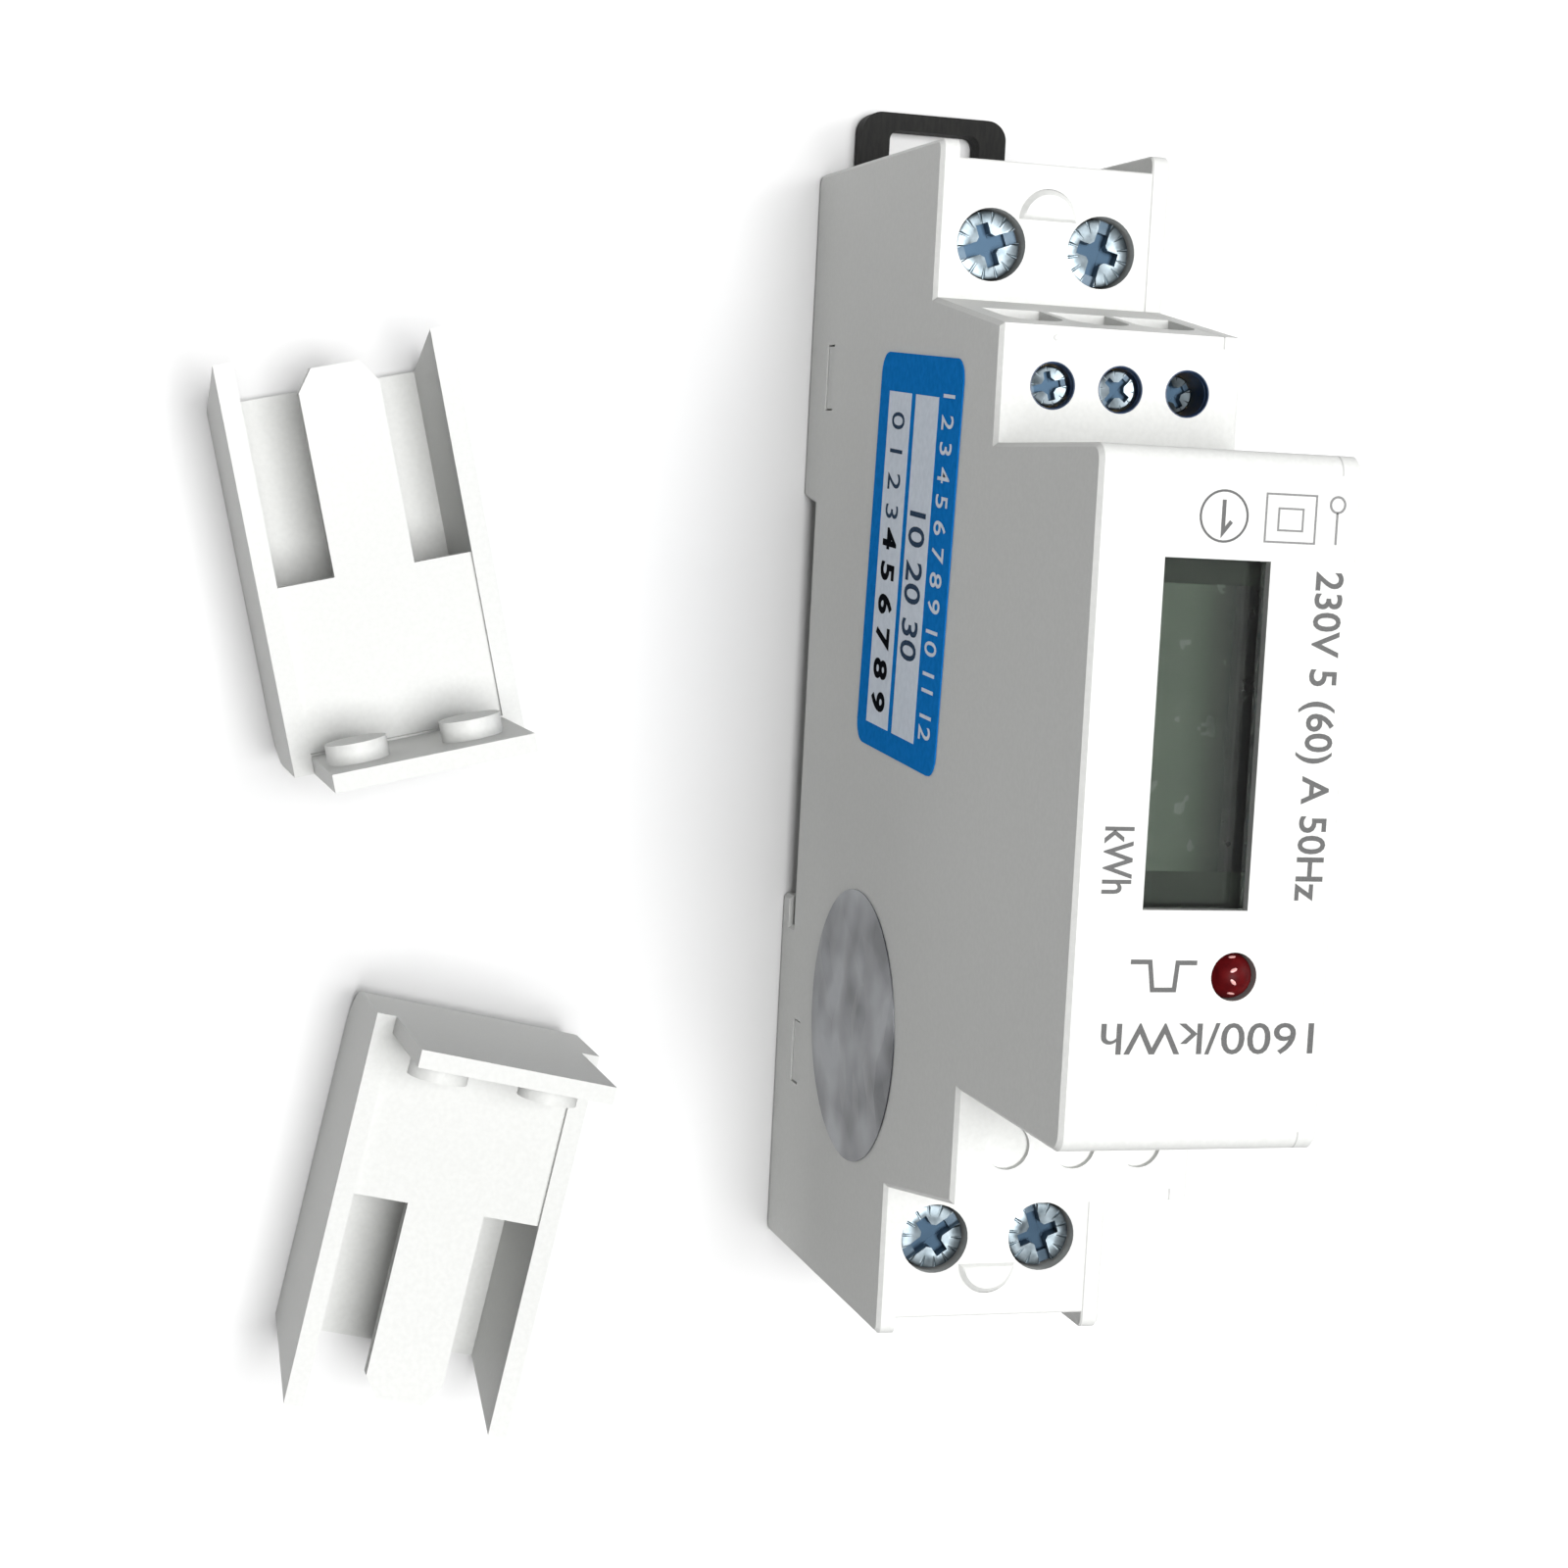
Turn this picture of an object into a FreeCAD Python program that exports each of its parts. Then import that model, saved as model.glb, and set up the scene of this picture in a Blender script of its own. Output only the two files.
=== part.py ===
"""Single-module DIN rail energy meter lying on its back, with its two terminal covers taken off.

Millimetres. The origin is in the back plane, on the centre line of the 35 mm rail.
+X runs along the rail across the meter's width, +Y from the fixed hook to the sliding clip,
and +Z from the back to the front. Sizes run in chains: a shelf, step or wall that changes
takes along everything that stands on it.
"""
import FreeCAD, Part
import math
import os

V = FreeCAD.Vector

# How far a cutting tool runs past the face that it cuts.
PAST = 1.0
# Clearance between pieces that are fitted together, and between inner pieces and a wall.
FIT_GAP = 0.05
INNER_GAP = 0.1

# Housing: a moulded box with one flank, closed by a side cover on +X.
WIDTH = 18.0
LEFT = -WIDTH / 2
RIGHT = WIDTH / 2
WALL = 1.4
FRONT_WALL = 1.6
SIDE_COVER_T = 1.5
INNER_X = LEFT + WALL
SEAM_X = RIGHT - SIDE_COVER_T
INNER_WIDTH = SEAM_X - INNER_X
EDGE_BEVEL = 0.3
SEAM_BEVEL = 0.12
FRONT_CORNER_R = 1.2
END_CORNER_R = 0.8
CORE_CORNER_R = 0.2

# Side view, from the rail's centre line outwards and from the back to the front.
FRONT_HALF = 22.5
STEP_DEPTH = 8.15
RISER_SLANT = 2.4
SHELF_DEPTH = 10.15
FLANGE_LIP = 1.3
STEP_HALF = FRONT_HALF + STEP_DEPTH
SHELF_HALF = STEP_HALF + RISER_SLANT
END_HALF = SHELF_HALF + SHELF_DEPTH
FLANGE_HALF = END_HALF + FLANGE_LIP
SHELF_Z = 31.0
STEP_RISE = 14.6
FRONT_RISE = 19.4
STEP_Z = SHELF_Z + STEP_RISE
FRONT_Z = STEP_Z + FRONT_RISE
CEILING = FRONT_Z - FRONT_WALL
FLOOR_Z = 4.8

# Rail notch: a fixed hook with an undercut on -Y, a drafted wall beside the clip on +Y.
RAIL_SEAT_Z = 3.4
HOOK_Y = -15.3
UNDERCUT_Y = -17.7
UNDERCUT_Z = 2.2
NOTCH_TOP_Y = 18.1
NOTCH_DRAFT = 0.55

# Main terminals: combination screws in wells on the shelves, over rising cages.
DIVIDER_T = 3.0
RIGHT_RIB_T = 0.9
CAGE_HALF_X = (INNER_WIDTH - DIVIDER_T - RIGHT_RIB_T) / 4 - INNER_GAP
TERMINAL_X = (INNER_X + INNER_GAP + CAGE_HALF_X, SEAM_X - RIGHT_RIB_T - INNER_GAP - CAGE_HALF_X)
TERMINAL_Y = SHELF_HALF + 0.4 * SHELF_DEPTH
GUIDE_SETBACK = 0.45
GUIDE_T = 1.2
GUIDE_Y = (SHELF_HALF - GUIDE_SETBACK - GUIDE_T, SHELF_HALF - GUIDE_SETBACK)
WELL_R = CAGE_HALF_X - 0.05
BOSS_MARGIN = 0.5
BOSS_DEPTH = 2.2
MOON_R = 2.2
MOON_DEPTH = 0.6
MOON_OFFSET = 2.1

# The cage, the bar that it clamps the wire against, and the screw that lifts it.
CAGE_BACKLASH = 1.55
CAGE_HALF_Y = (SHELF_DEPTH - WALL - CAGE_BACKLASH) / 2
CAGE_WALL = 0.6
CAGE_STAND = 1.6
CAGE_FLOOR_T = 1.6
CAGE_LID_T = 2.5
CAGE_TEETH = 3
CAGE_TOOTH = (0.6, 0.35)
BAR_DROP = 14.4
BAR_Z = SHELF_Z - BAR_DROP
BAR_T = 1.4
BAR_HALF_W = CAGE_HALF_X - CAGE_WALL - INNER_GAP
BAR_SETBACK = 0.4
CAGE_RISE = 4.9
CAGE_BOTTOM = FLOOR_Z + CAGE_STAND
CAGE_TOP = BAR_Z + CAGE_RISE
ENTRY_MARGIN = 0.5
ENTRY_BEVEL = 0.6
ENTRY_HALF_X = CAGE_HALF_X - ENTRY_MARGIN
ENTRY_Z = (CAGE_BOTTOM + CAGE_FLOOR_T, BAR_Z - BAR_SETBACK)
HEAD_R = WELL_R - 0.15
HEAD_SINK = 0.7
HEAD_TOP = SHELF_Z - HEAD_SINK
HEAD_H = 2.0
THREAD_R = CAGE_HALF_X - 0.75
SLOT_W = 0.85
SLOT_DEPTH = 1.2
CROSS_ARM = 1.6
SHUNT_HALF = 9.0
SHUNT_WAIST = (5.0, 0.8)

# Pulse terminals: three small screws in a dark block under the upper step.
PULSE_PITCH = (INNER_WIDTH - INNER_GAP) / 3
PULSE_X = (-PULSE_PITCH, 0.0, PULSE_PITCH)
PULSE_Y = FRONT_HALF + STEP_DEPTH / 2
PILLAR_HALF_X = PULSE_PITCH / 2 - 0.6
PILLAR_HALF_Y = STEP_DEPTH / 2 - WALL - 0.275
PILLAR_Z = (STEP_Z - 9.6, STEP_Z - 3.8)
PILLAR_PIN = (0.5, 2.2)
PULSE_WELL_R = PILLAR_HALF_X - 0.25
BLIND_DEPTH = 0.5
PULSE_HEAD_R = PULSE_WELL_R - 0.23
PULSE_HEAD_H = 1.2
PULSE_HEAD_TOP = STEP_Z - 0.6
PULSE_THREAD_R = 1.0
PULSE_SLOT_W = 0.5
PULSE_SLOT_DEPTH = 0.8
PULSE_CROSS_ARM = 1.0
PULSE_WIRE_Z = STEP_Z - 6.8
PULSE_WIRE_R = PILLAR_HALF_X - 0.4
PULSE_CHAMBER_HALF_Z = 1.5
PULSE_SINK = (0.0, 0.0, 1.7)
PLATE_HALF = (PULSE_WIRE_R - 0.3, PILLAR_HALF_Y - 0.8)
PLATE_THICK = 0.4
POCKET_ARCH_TOP = STEP_Z - 2.7
POCKET_ARCH_R = PULSE_PITCH / 2 - 0.3
POCKET_DEPTH = 0.7
POCKET_DROP = 2.4
BLOCK_BACK = FRONT_HALF + 0.7
PULSE_BOARD_T = 1.2
PULSE_BOARD_EDGE = 0.4

# Boards: the main one stands against the side cover, the display's lies under the front wall.
BOARD_T = 1.6
BOARD_X = (SEAM_X - BOARD_T, SEAM_X)
BOARD_RISE = 2.4
BOARD_Z = BAR_Z + BOARD_RISE
BOARD_HALF = GUIDE_Y[0] - 2.4
DISPLAY_BOARD_Z = (CEILING - 6.4, CEILING - 5.2)

# Parts on the main board: each stands on the board's face, off towards the flank.
FILM_SIZE = (6.0, 13.0, 11.0)
FILM_Y = -12.5
FILM_Z = BOARD_Z + 2.0 + FILM_SIZE[2] / 2
FILM_BEVEL = 0.5
CAN_R = 4.0
CAN_LENGTH = 0.73 * INNER_WIDTH
CAN_SIDES = 24
CAN_Z = BOARD_Z + 6.5
DISC_R = INNER_WIDTH / 3
DISC_T = 4.0
DISC_GAP = 0.3
DISC_SIDES = 24
DISC_Y = 11.0
DISC_Z = BOARD_Z + 7.0
LEG_HALF = 0.3
LEG_SPREAD = 2.5
RESISTOR_R = 1.8
RESISTOR_SIDES = 12
RESISTOR_GAP = 0.4
RESISTOR_Y = 17.0
RESISTOR_Z = (BOARD_Z + 4.0, BOARD_Z + 13.0)
RESISTOR_REACH = 1.2
CHIP_FOOT = 0.9
CHIP_GAP = 0.1
OPTO_HEIGHT = 3.4
OPTO_Y = (12.0, 18.5)
OPTO_Z = (STEP_Z - 7.6, STEP_Z - 3.0)
OPTO_PITCH = 2.54
METERING_HEIGHT = 1.8
METERING_HALF_Y = 4.0
METERING_Z = (STEP_Z - 7.6, STEP_Z - 2.1)
METERING_PITCH = 1.1
CONTROLLER_HEIGHT = 1.6
CONTROLLER_HALF_Y = 5.0
CONTROLLER_Z = (DISPLAY_BOARD_Z[0] - 10.0, DISPLAY_BOARD_Z[0] - 3.0)
CONTROLLER_PITCH = 1.27
CRYSTAL_HEIGHT = 3.5
CRYSTAL_Y = (-16.0, -7.0)
CRYSTAL_Z = (STEP_Z - 4.6, STEP_Z - 0.8)
CRYSTAL_BASE_T = 0.6
CRYSTAL_RIM = 0.4
CRYSTAL_BEVEL = 0.8

# Leads from the bars to the main board.
LEAD_R = 0.45
LEAD_BEND = 1.0
LEAD_SIDES = 8
SENSE_RISE = 1.6
SENSE_Y = SHUNT_HALF + 2.0
NEUTRAL_RISE = 2.4
NEUTRAL_LEAD_Y = 5.0 - BOARD_HALF

# Front: display window, display and pulse lamp.
LCD_Z = (CEILING - 3.8, CEILING - 1.2)
LCD_STEP_Z = CEILING - 2.5
LCD_X = (INNER_X + 0.7, BOARD_X[0] - 0.4)
WINDOW_X = (LCD_X[0] + 2.6, LCD_X[1] - 2.55)
WINDOW_TOP = FRONT_HALF - 6.9
WINDOW_Y = (WINDOW_TOP - 0.992 * FRONT_HALF, WINDOW_TOP)
WINDOW_RECESS = 0.6
WINDOW_RIM = 1.2
LCD_Y = (WINDOW_Y[0] - 2.48, WINDOW_Y[1] + 2.5)
LCD_UPPER_Y = (WINDOW_Y[0] - 1.18, WINDOW_Y[1] + 1.3)
FRAME_SETBACK = 0.3
FRAME_RIM_X = 1.7
FRAME_RIM_Y = (1.3, 1.6)
LAMP_X = WINDOW_X[1] - 0.65
LAMP_Y = WINDOW_Y[0] - 4.28
LAMP_R = 1.45
LAMP_HOLE_R = 1.58
LAMP_FLANGE = (1.9, 1.0)
LAMP_DOME_Z = FRONT_Z - 1.0
DISPLAY_BOARD_Y = (LAMP_Y - 4.0, WINDOW_Y[1] + 4.9)

# Rail clip: a flat slider in a T-shaped channel, pushed towards the rail by a leaf spring.
CLIP_HALF_X = WIDTH / 2 - 2.8
CLIP_WING_X = CLIP_HALF_X + 0.7
CLIP_Z = (0.35, 2.4)
CLIP_WING_Z = 1.35
CLIP_NOSE_Y = NOTCH_TOP_Y - 2.6
CLIP_NOSE_DROP = 1.8
CLIP_END_Y = FLANGE_HALF + 5.3
CLIP_END_R = 1.6
CLIP_WINGS_Y = (NOTCH_TOP_Y + 1.9, END_HALF - 6.4)
CLIP_TRAVEL = 3.3
LOOP_LEG = 2.3
LOOP_BAR = 1.4
LOOP_START = END_HALF - 3.0
LOOP_R = 0.8
SPRING_PEG_X = 1.3
SPRING_PEG_Y = (END_HALF - 8.6, END_HALF - 7.2)
SPRING_START_Y = NOTCH_TOP_Y + 5.9
SPRING_TURNS = 7
SPRING_SWING = 1.15
SPRING_T = 0.15
SPRING_Z = (0.75, 2.05)

# Snap tongues of the side cover and their slots in the far flank.
SNAP_Y = (STEP_HALF - 5.35, STEP_HALF - 0.35)
SNAP_Z = (5.0, 6.6)
SNAP_GAP = 0.15

# Terminal cover: a tray with a T-shaped inner plate and a lip that lies over the shelf.
COVER_DEPTH = 13.2
COVER_LENGTH = SHELF_Z + 0.4
COVER_WALL = 1.5
COVER_CORNER_R = 4.5
COVER_TIP = 3.35
PLATE_RECESS = 0.5
PLATE_T = 1.2
TONGUE_HALF = WIDTH / 2 - 5.92
TONGUE_TIP_HALF = TONGUE_HALF - 1.23
TONGUE_START = 1.4
TONGUE_TAPER = 1.7
WINDOW_END = COVER_LENGTH - 14.3
LIP_HEIGHT = 12.9
LIP_HALF = WIDTH / 2 - COVER_WALL
LIP_T = 1.35
PAD_R = WELL_R - 0.35
PAD_T = 1.5
# Places on the surface that the meter lies on: tip end x, y, heading in degrees, pad side.
COVER_PLACES = {"terminal_cover_lower": (-50.195, 27.599, -76.95, 1),
                "terminal_cover_upper": (-42.32, -55.643, 78.61, -1)}

# Stickers on the left flank: length, height, turn in degrees, and corner or disc radius.
STICKER_T = 0.1
LABEL_SIZE = (30.0, 18.9)
LABEL_TURN = -3.2
LABEL_R = 1.6
LABEL_PLACE = (STEP_HALF - 16.71, STEP_Z - 17.05)
SEAL_R = 10.6
SEAL_SIDES = 60
SEAL_PLACE = (7.99 - STEP_HALF, SHELF_Z - 10.2)

parts = {}


def box(x, y, z):
    """A block between three pairs of coordinates."""
    size = [high - low for low, high in (x, y, z)]
    return Part.makeBox(*size, V(x[0], y[0], z[0]))


def around(middle, half):
    """The pair of coordinates at equal distances from a middle one."""
    return (middle - half, middle + half)


def facing(side, low, high):
    """A pair of Y values on one side of the rail's centre line, in rising order."""
    return tuple(sorted((side * low, side * high)))


def cylinder(radius, x, y, z):
    """An upright cylinder between two heights."""
    return Part.makeCylinder(radius, z[1] - z[0], V(x, y, z[0]), V(0, 0, 1))


def rod(radius, start, end):
    """A round rod between two points."""
    axis = V(*end) - V(*start)
    return Part.makeCylinder(radius, axis.Length, V(*start), axis)


def polygon(points):
    """A flat face with straight edges through a list of points."""
    corners = [V(*p) for p in points]
    return Part.Face(Part.makePolygon(corners + corners[:1]))


def edges_along(shape, direction):
    """Straight edges of a block that run in one direction."""
    parallel = 0.99
    return [e for e in shape.Edges if abs(e.tangentAt(e.FirstParameter).dot(direction)) > parallel]


def mirrored(points):
    """A half outline (y falling, z) completed with its mirror image across y = 0."""
    return points + [(-p[0],) + tuple(p[1:]) for p in reversed(points)]


def outline(points):
    """A closed wire in the YZ plane; a third value rounds that corner."""
    edges = []
    ends = []
    for i, point in enumerate(points):
        here = V(0, point[0], point[1])
        if len(point) == 2:
            ends.append((here, here))
            continue
        radius = point[2]
        to_last = V(0, *points[i - 1][:2]).sub(here).normalize()
        to_next = V(0, *points[(i + 1) % len(points)][:2]).sub(here).normalize()
        half = to_last.getAngle(to_next) / 2
        reach = radius / math.tan(half)
        middle = here + (to_last + to_next).normalize() * (radius / math.sin(half) - radius)
        enter = here + to_last * reach
        leave = here + to_next * reach
        edges.append(Part.Arc(enter, middle, leave).toShape())
        ends.append((enter, leave))
    for i, (enter, leave) in enumerate(ends):
        edges.append(Part.makeLine(ends[i - 1][1], enter))
    return Part.Wire(Part.__sortEdges__(edges))


def slab(points, x):
    """The YZ outline as a plate between two X values."""
    face = Part.Face(outline(points))
    face.translate(V(x[0], 0, 0))
    return face.extrude(V(x[1] - x[0], 0, 0))


def body_outline(end_half, corner):
    """Side view of the meter: stepped front, slanted risers and the rail notch."""
    front = [(end_half, 0, corner), (end_half, SHELF_Z, corner), (SHELF_HALF, SHELF_Z),
             (STEP_HALF, STEP_Z), (FRONT_HALF, STEP_Z), (FRONT_HALF, FRONT_Z, FRONT_CORNER_R)]
    notch = [(HOOK_Y, 0), (HOOK_Y, UNDERCUT_Z), (UNDERCUT_Y, UNDERCUT_Z), (UNDERCUT_Y, RAIL_SEAT_Z),
             (NOTCH_TOP_Y - NOTCH_DRAFT, RAIL_SEAT_Z), (NOTCH_TOP_Y, 0)]
    return mirrored(front) + notch


def riser_y(z):
    """Y of the slanted riser's outer face at a height."""
    return STEP_HALF + (STEP_Z - z) * RISER_SLANT / STEP_RISE


def cavity_outline():
    """Inside of the housing, one wall in from the outline."""
    end = END_HALF - WALL
    low = SHELF_Z - WALL
    high = STEP_Z - WALL
    front = [(end, low), (riser_y(low) - WALL, low), (riser_y(high) - WALL, high),
             (FRONT_HALF - WALL, high), (FRONT_HALF - WALL, CEILING)]
    hook_back = UNDERCUT_Y - WALL
    return mirrored(front) + [(-end, WALL), (hook_back, WALL), (hook_back, FLOOR_Z), (end, FLOOR_Z)]


def edges_at_x(shape, x):
    """Edges of a slab that lie wholly in one X plane."""
    tolerance = 1e-6
    return [e for e in shape.Edges if all(abs(v.X - x) < tolerance for v in e.Vertexes)]


def moon(side):
    """The half-moon recess between the two screw wells of an end."""
    flat_y = side * (TERMINAL_Y + MOON_OFFSET)
    disc = cylinder(MOON_R, sum(TERMINAL_X) / 2, flat_y, (SHELF_Z - MOON_DEPTH, SHELF_Z + PAST))
    inner_half = box((LEFT, RIGHT), tuple(sorted((0, flat_y))), (0, FRONT_Z))
    return disc.cut(inner_half)


def terminal_chamber(side):
    """Ribs round the two cages of one end: back rest, partition, right wall, floor and bosses."""
    line, neutral = TERMINAL_X
    pocket = CAGE_HALF_X + INNER_GAP
    low = WALL / 2
    high = SHELF_Z - WALL / 2
    across = (INNER_X - WALL / 2, SEAM_X)
    along = facing(side, GUIDE_Y[0], END_HALF - WALL / 2)
    ribs = [box(across, facing(side, *GUIDE_Y), (low, high)),
            box((line + pocket, neutral - pocket), along, (low, high)),
            box((neutral + pocket, SEAM_X), along, (low, high)),
            box(across, along, (low, CAGE_BOTTOM))]
    for x in TERMINAL_X:
        boss = box(around(x, pocket), facing(side, GUIDE_Y[0], TERMINAL_Y + WELL_R + BOSS_MARGIN),
                   (SHELF_Z - WALL - BOSS_DEPTH, high))
        ribs.append(boss)
    chamber = ribs[0].multiFuse(ribs[1:])
    slots = []
    slot_y = facing(side, GUIDE_Y[0] - PAST, GUIDE_Y[1] + PAST / 4)
    for x in TERMINAL_X:
        slots.append(box(around(x, BAR_HALF_W + INNER_GAP), slot_y, (BAR_Z, BAR_Z + BAR_T + INNER_GAP)))
    return chamber.cut(Part.makeCompound(slots))


def wire_entry(x, side):
    """Rectangular wire entry with cut corners through an end face."""
    entry = box(around(x, ENTRY_HALF_X), facing(side, END_HALF - WALL - PAST / 2, END_HALF + PAST), ENTRY_Z)
    return entry.makeChamfer(ENTRY_BEVEL, edges_along(entry, V(0, 1, 0)))


def pulse_pocket(x):
    """Arched pocket in the slanted riser that guides a thin wire into its hole."""
    centre_z = POCKET_ARCH_TOP - POCKET_ARCH_R
    bottom = PULSE_WIRE_Z - POCKET_DROP
    deep = riser_y(centre_z) - POCKET_DEPTH
    outside = SHELF_HALF + PAST
    arch = rod(POCKET_ARCH_R, (x, deep, centre_z), (x, outside, centre_z))
    shaft = box(around(x, POCKET_ARCH_R), (deep, outside), (bottom, centre_z))
    hole = rod(PULSE_WIRE_R, (x, PULSE_Y + PAST, PULSE_WIRE_Z), (x, outside, PULSE_WIRE_Z))
    return arch.multiFuse([shaft, hole])


def clip_channel():
    """T-shaped channel in the back that the rail clip slides in."""
    roof = CLIP_Z[1] + FIT_GAP
    narrow = box(around(0, CLIP_HALF_X + INNER_GAP), (NOTCH_TOP_Y - PAST, END_HALF + PAST), (-PAST, roof))
    wings_y = (CLIP_WINGS_Y[0] - FIT_GAP, CLIP_WINGS_Y[1] + CLIP_TRAVEL + FIT_GAP)
    return narrow.fuse(box(around(0, CLIP_WING_X + FIT_GAP), wings_y, (CLIP_WING_Z - FIT_GAP, roof)))


def end_openings(side):
    """What is cut at one end: two screw wells, two wire entries, the half-moon and a snap slot."""
    slot_y = facing(side, SNAP_Y[0] - SNAP_GAP, SNAP_Y[1] + SNAP_GAP)
    slot_z = (SNAP_Z[0] - SNAP_GAP, SNAP_Z[1] + SNAP_GAP)
    cuts = [moon(side), box((LEFT - PAST, INNER_X + PAST), slot_y, slot_z)]
    for x in TERMINAL_X:
        well_z = (SHELF_Z - WALL - BOSS_DEPTH - PAST, SHELF_Z + PAST)
        cuts.append(cylinder(WELL_R, x, side * TERMINAL_Y, well_z))
        cuts.append(wire_entry(x, side))
    return cuts


def step_openings():
    """Open screw wells with their wire pockets on +Y, and blind discs in their place on -Y."""
    cuts = []
    for x in PULSE_X:
        cuts.append(cylinder(PULSE_WELL_R, x, PULSE_Y, (STEP_Z - WALL - PAST, STEP_Z + PAST)))
        cuts.append(cylinder(PULSE_WELL_R, x, -PULSE_Y, (STEP_Z - BLIND_DEPTH, STEP_Z + PAST)))
        cuts.append(pulse_pocket(x))
    return cuts


def housing():
    """Left flank, stepped front, ends and back in one moulding, open towards the side cover."""
    flank = slab(body_outline(FLANGE_HALF, END_CORNER_R), (LEFT, INNER_X))
    flank = flank.makeChamfer(EDGE_BEVEL, edges_at_x(flank, LEFT))
    core = slab(body_outline(END_HALF, CORE_CORNER_R), (LEFT + EDGE_BEVEL * 2, SEAM_X))
    shell = core.cut(slab(cavity_outline(), (INNER_X, SEAM_X + PAST)))
    shell = shell.multiFuse([flank, terminal_chamber(1), terminal_chamber(-1)])
    cuts = [clip_channel()] + end_openings(1) + end_openings(-1) + step_openings()
    front = (CEILING - PAST, FRONT_Z + PAST)
    cuts.append(box(WINDOW_X, WINDOW_Y, front))
    cuts.append(cylinder(LAMP_HOLE_R, LAMP_X, LAMP_Y, front))
    shell = shell.cut(Part.makeCompound(cuts))
    peg = box(around(0, SPRING_PEG_X), SPRING_PEG_Y, (SPRING_Z[0] - INNER_GAP, CLIP_Z[1] + PAST))
    return shell.fuse(peg).removeSplitter()


def side_cover():
    """Flat plate that closes the housing, with two snap tongues through to the far flank."""
    plate = slab(body_outline(FLANGE_HALF, END_CORNER_R), (SEAM_X, RIGHT))
    plate = plate.makeChamfer(EDGE_BEVEL, edges_at_x(plate, RIGHT))
    plate = plate.makeChamfer(SEAM_BEVEL, edges_at_x(plate, SEAM_X))
    reach = (LEFT + INNER_GAP, SEAM_X + SIDE_COVER_T / 3)
    tongues = [box(reach, facing(side, *SNAP_Y), SNAP_Z) for side in (1, -1)]
    return plate.multiFuse(tongues)


def rail_clip():
    """Slider with a nose behind the rail, two wings in the channel and a finger loop."""
    top = CLIP_Z[1]
    upright = V(0, 0, 1)
    slider = box(around(0, CLIP_HALF_X), (CLIP_NOSE_Y, CLIP_END_Y), CLIP_Z)
    end_corners = [e for e in edges_along(slider, upright) if e.Vertexes[0].Y > END_HALF]
    slider = slider.makeFillet(CLIP_END_R, end_corners)
    wings = box(around(0, CLIP_WING_X), CLIP_WINGS_Y, (CLIP_WING_Z, top))
    through = (CLIP_Z[0] - PAST, top + PAST)
    loop = box(around(0, CLIP_HALF_X - LOOP_LEG), (LOOP_START, CLIP_END_Y - LOOP_BAR), through)
    loop = loop.makeFillet(LOOP_R, edges_along(loop, upright))
    pocket_y = (SPRING_START_Y, SPRING_PEG_Y[1] + INNER_GAP)
    pocket = box(around(0, SPRING_PEG_X + SPRING_T * 2), pocket_y, through)
    nose_end = CLIP_NOSE_Y - PAST
    ramp = polygon([(-WIDTH, nose_end, CLIP_Z[0] - PAST), (-WIDTH, CLIP_NOSE_Y + CLIP_NOSE_DROP, CLIP_Z[0]),
                    (-WIDTH, nose_end, top + FIT_GAP * 3)]).extrude(V(2 * WIDTH, 0, 0))
    return slider.fuse(wings).cut(Part.makeCompound([loop, pocket, ramp])).removeSplitter()


def clip_spring():
    """Zigzag leaf spring between the clip's pocket and the peg of the housing."""
    step = (SPRING_PEG_Y[0] - SPRING_START_Y - 2 * SPRING_T) / SPRING_TURNS
    leaves = []
    for i in range(SPRING_TURNS):
        x = SPRING_SWING * (1 if i % 2 else -1)
        y = SPRING_START_Y + SPRING_T + i * step
        leaf = polygon([(x, y - SPRING_T, SPRING_Z[0]), (-x, y + step - SPRING_T, SPRING_Z[0]),
                        (-x, y + step + SPRING_T, SPRING_Z[0]), (x, y + SPRING_T, SPRING_Z[0])])
        leaves.append(leaf.extrude(V(0, 0, SPRING_Z[1] - SPRING_Z[0])))
    return leaves[0].multiFuse(leaves[1:]).removeSplitter()


def driver_recess(top, width, depth, slot_arm, cross_arm):
    """Screwdriver recess on the Z axis: a slot, and a shorter and deeper cross in its middle."""
    half = width / 2
    cuts = [box(around(0, slot_arm), around(0, half), (top - depth * 0.6, top + PAST)),
            box(around(0, cross_arm), around(0, half), (top - depth, top + PAST)),
            box(around(0, half), around(0, cross_arm), (top - depth, top + PAST))]
    return cuts[0].multiFuse(cuts[1:])


def screw(head_r, head, shank_r, tip, recess):
    """A cheese head between two heights with its shank and a driver recess."""
    shank = cylinder(shank_r, 0, 0, (tip, head[1]))
    return cylinder(head_r, 0, 0, head).fuse(shank).removeSplitter().cut(recess)


def terminal_screw():
    """Combination screw of a main terminal, standing just above its bar."""
    recess = driver_recess(HEAD_TOP, SLOT_W, SLOT_DEPTH, HEAD_R + PAST, CROSS_ARM)
    return screw(HEAD_R, (HEAD_TOP - HEAD_H, HEAD_TOP), THREAD_R, BAR_Z + BAR_T, recess)


def pulse_screw():
    """Small cross-head screw with a plain shank down to its pressure plate."""
    slot_arm = PULSE_HEAD_R + PAST
    recess = driver_recess(PULSE_HEAD_TOP, PULSE_SLOT_W, PULSE_SLOT_DEPTH, slot_arm, PULSE_CROSS_ARM)
    head = (PULSE_HEAD_TOP - PULSE_HEAD_H, PULSE_HEAD_TOP)
    return screw(PULSE_HEAD_R, head, PULSE_THREAD_R, PULSE_WIRE_Z + PULSE_CHAMBER_HALF_Z, recess)


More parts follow.
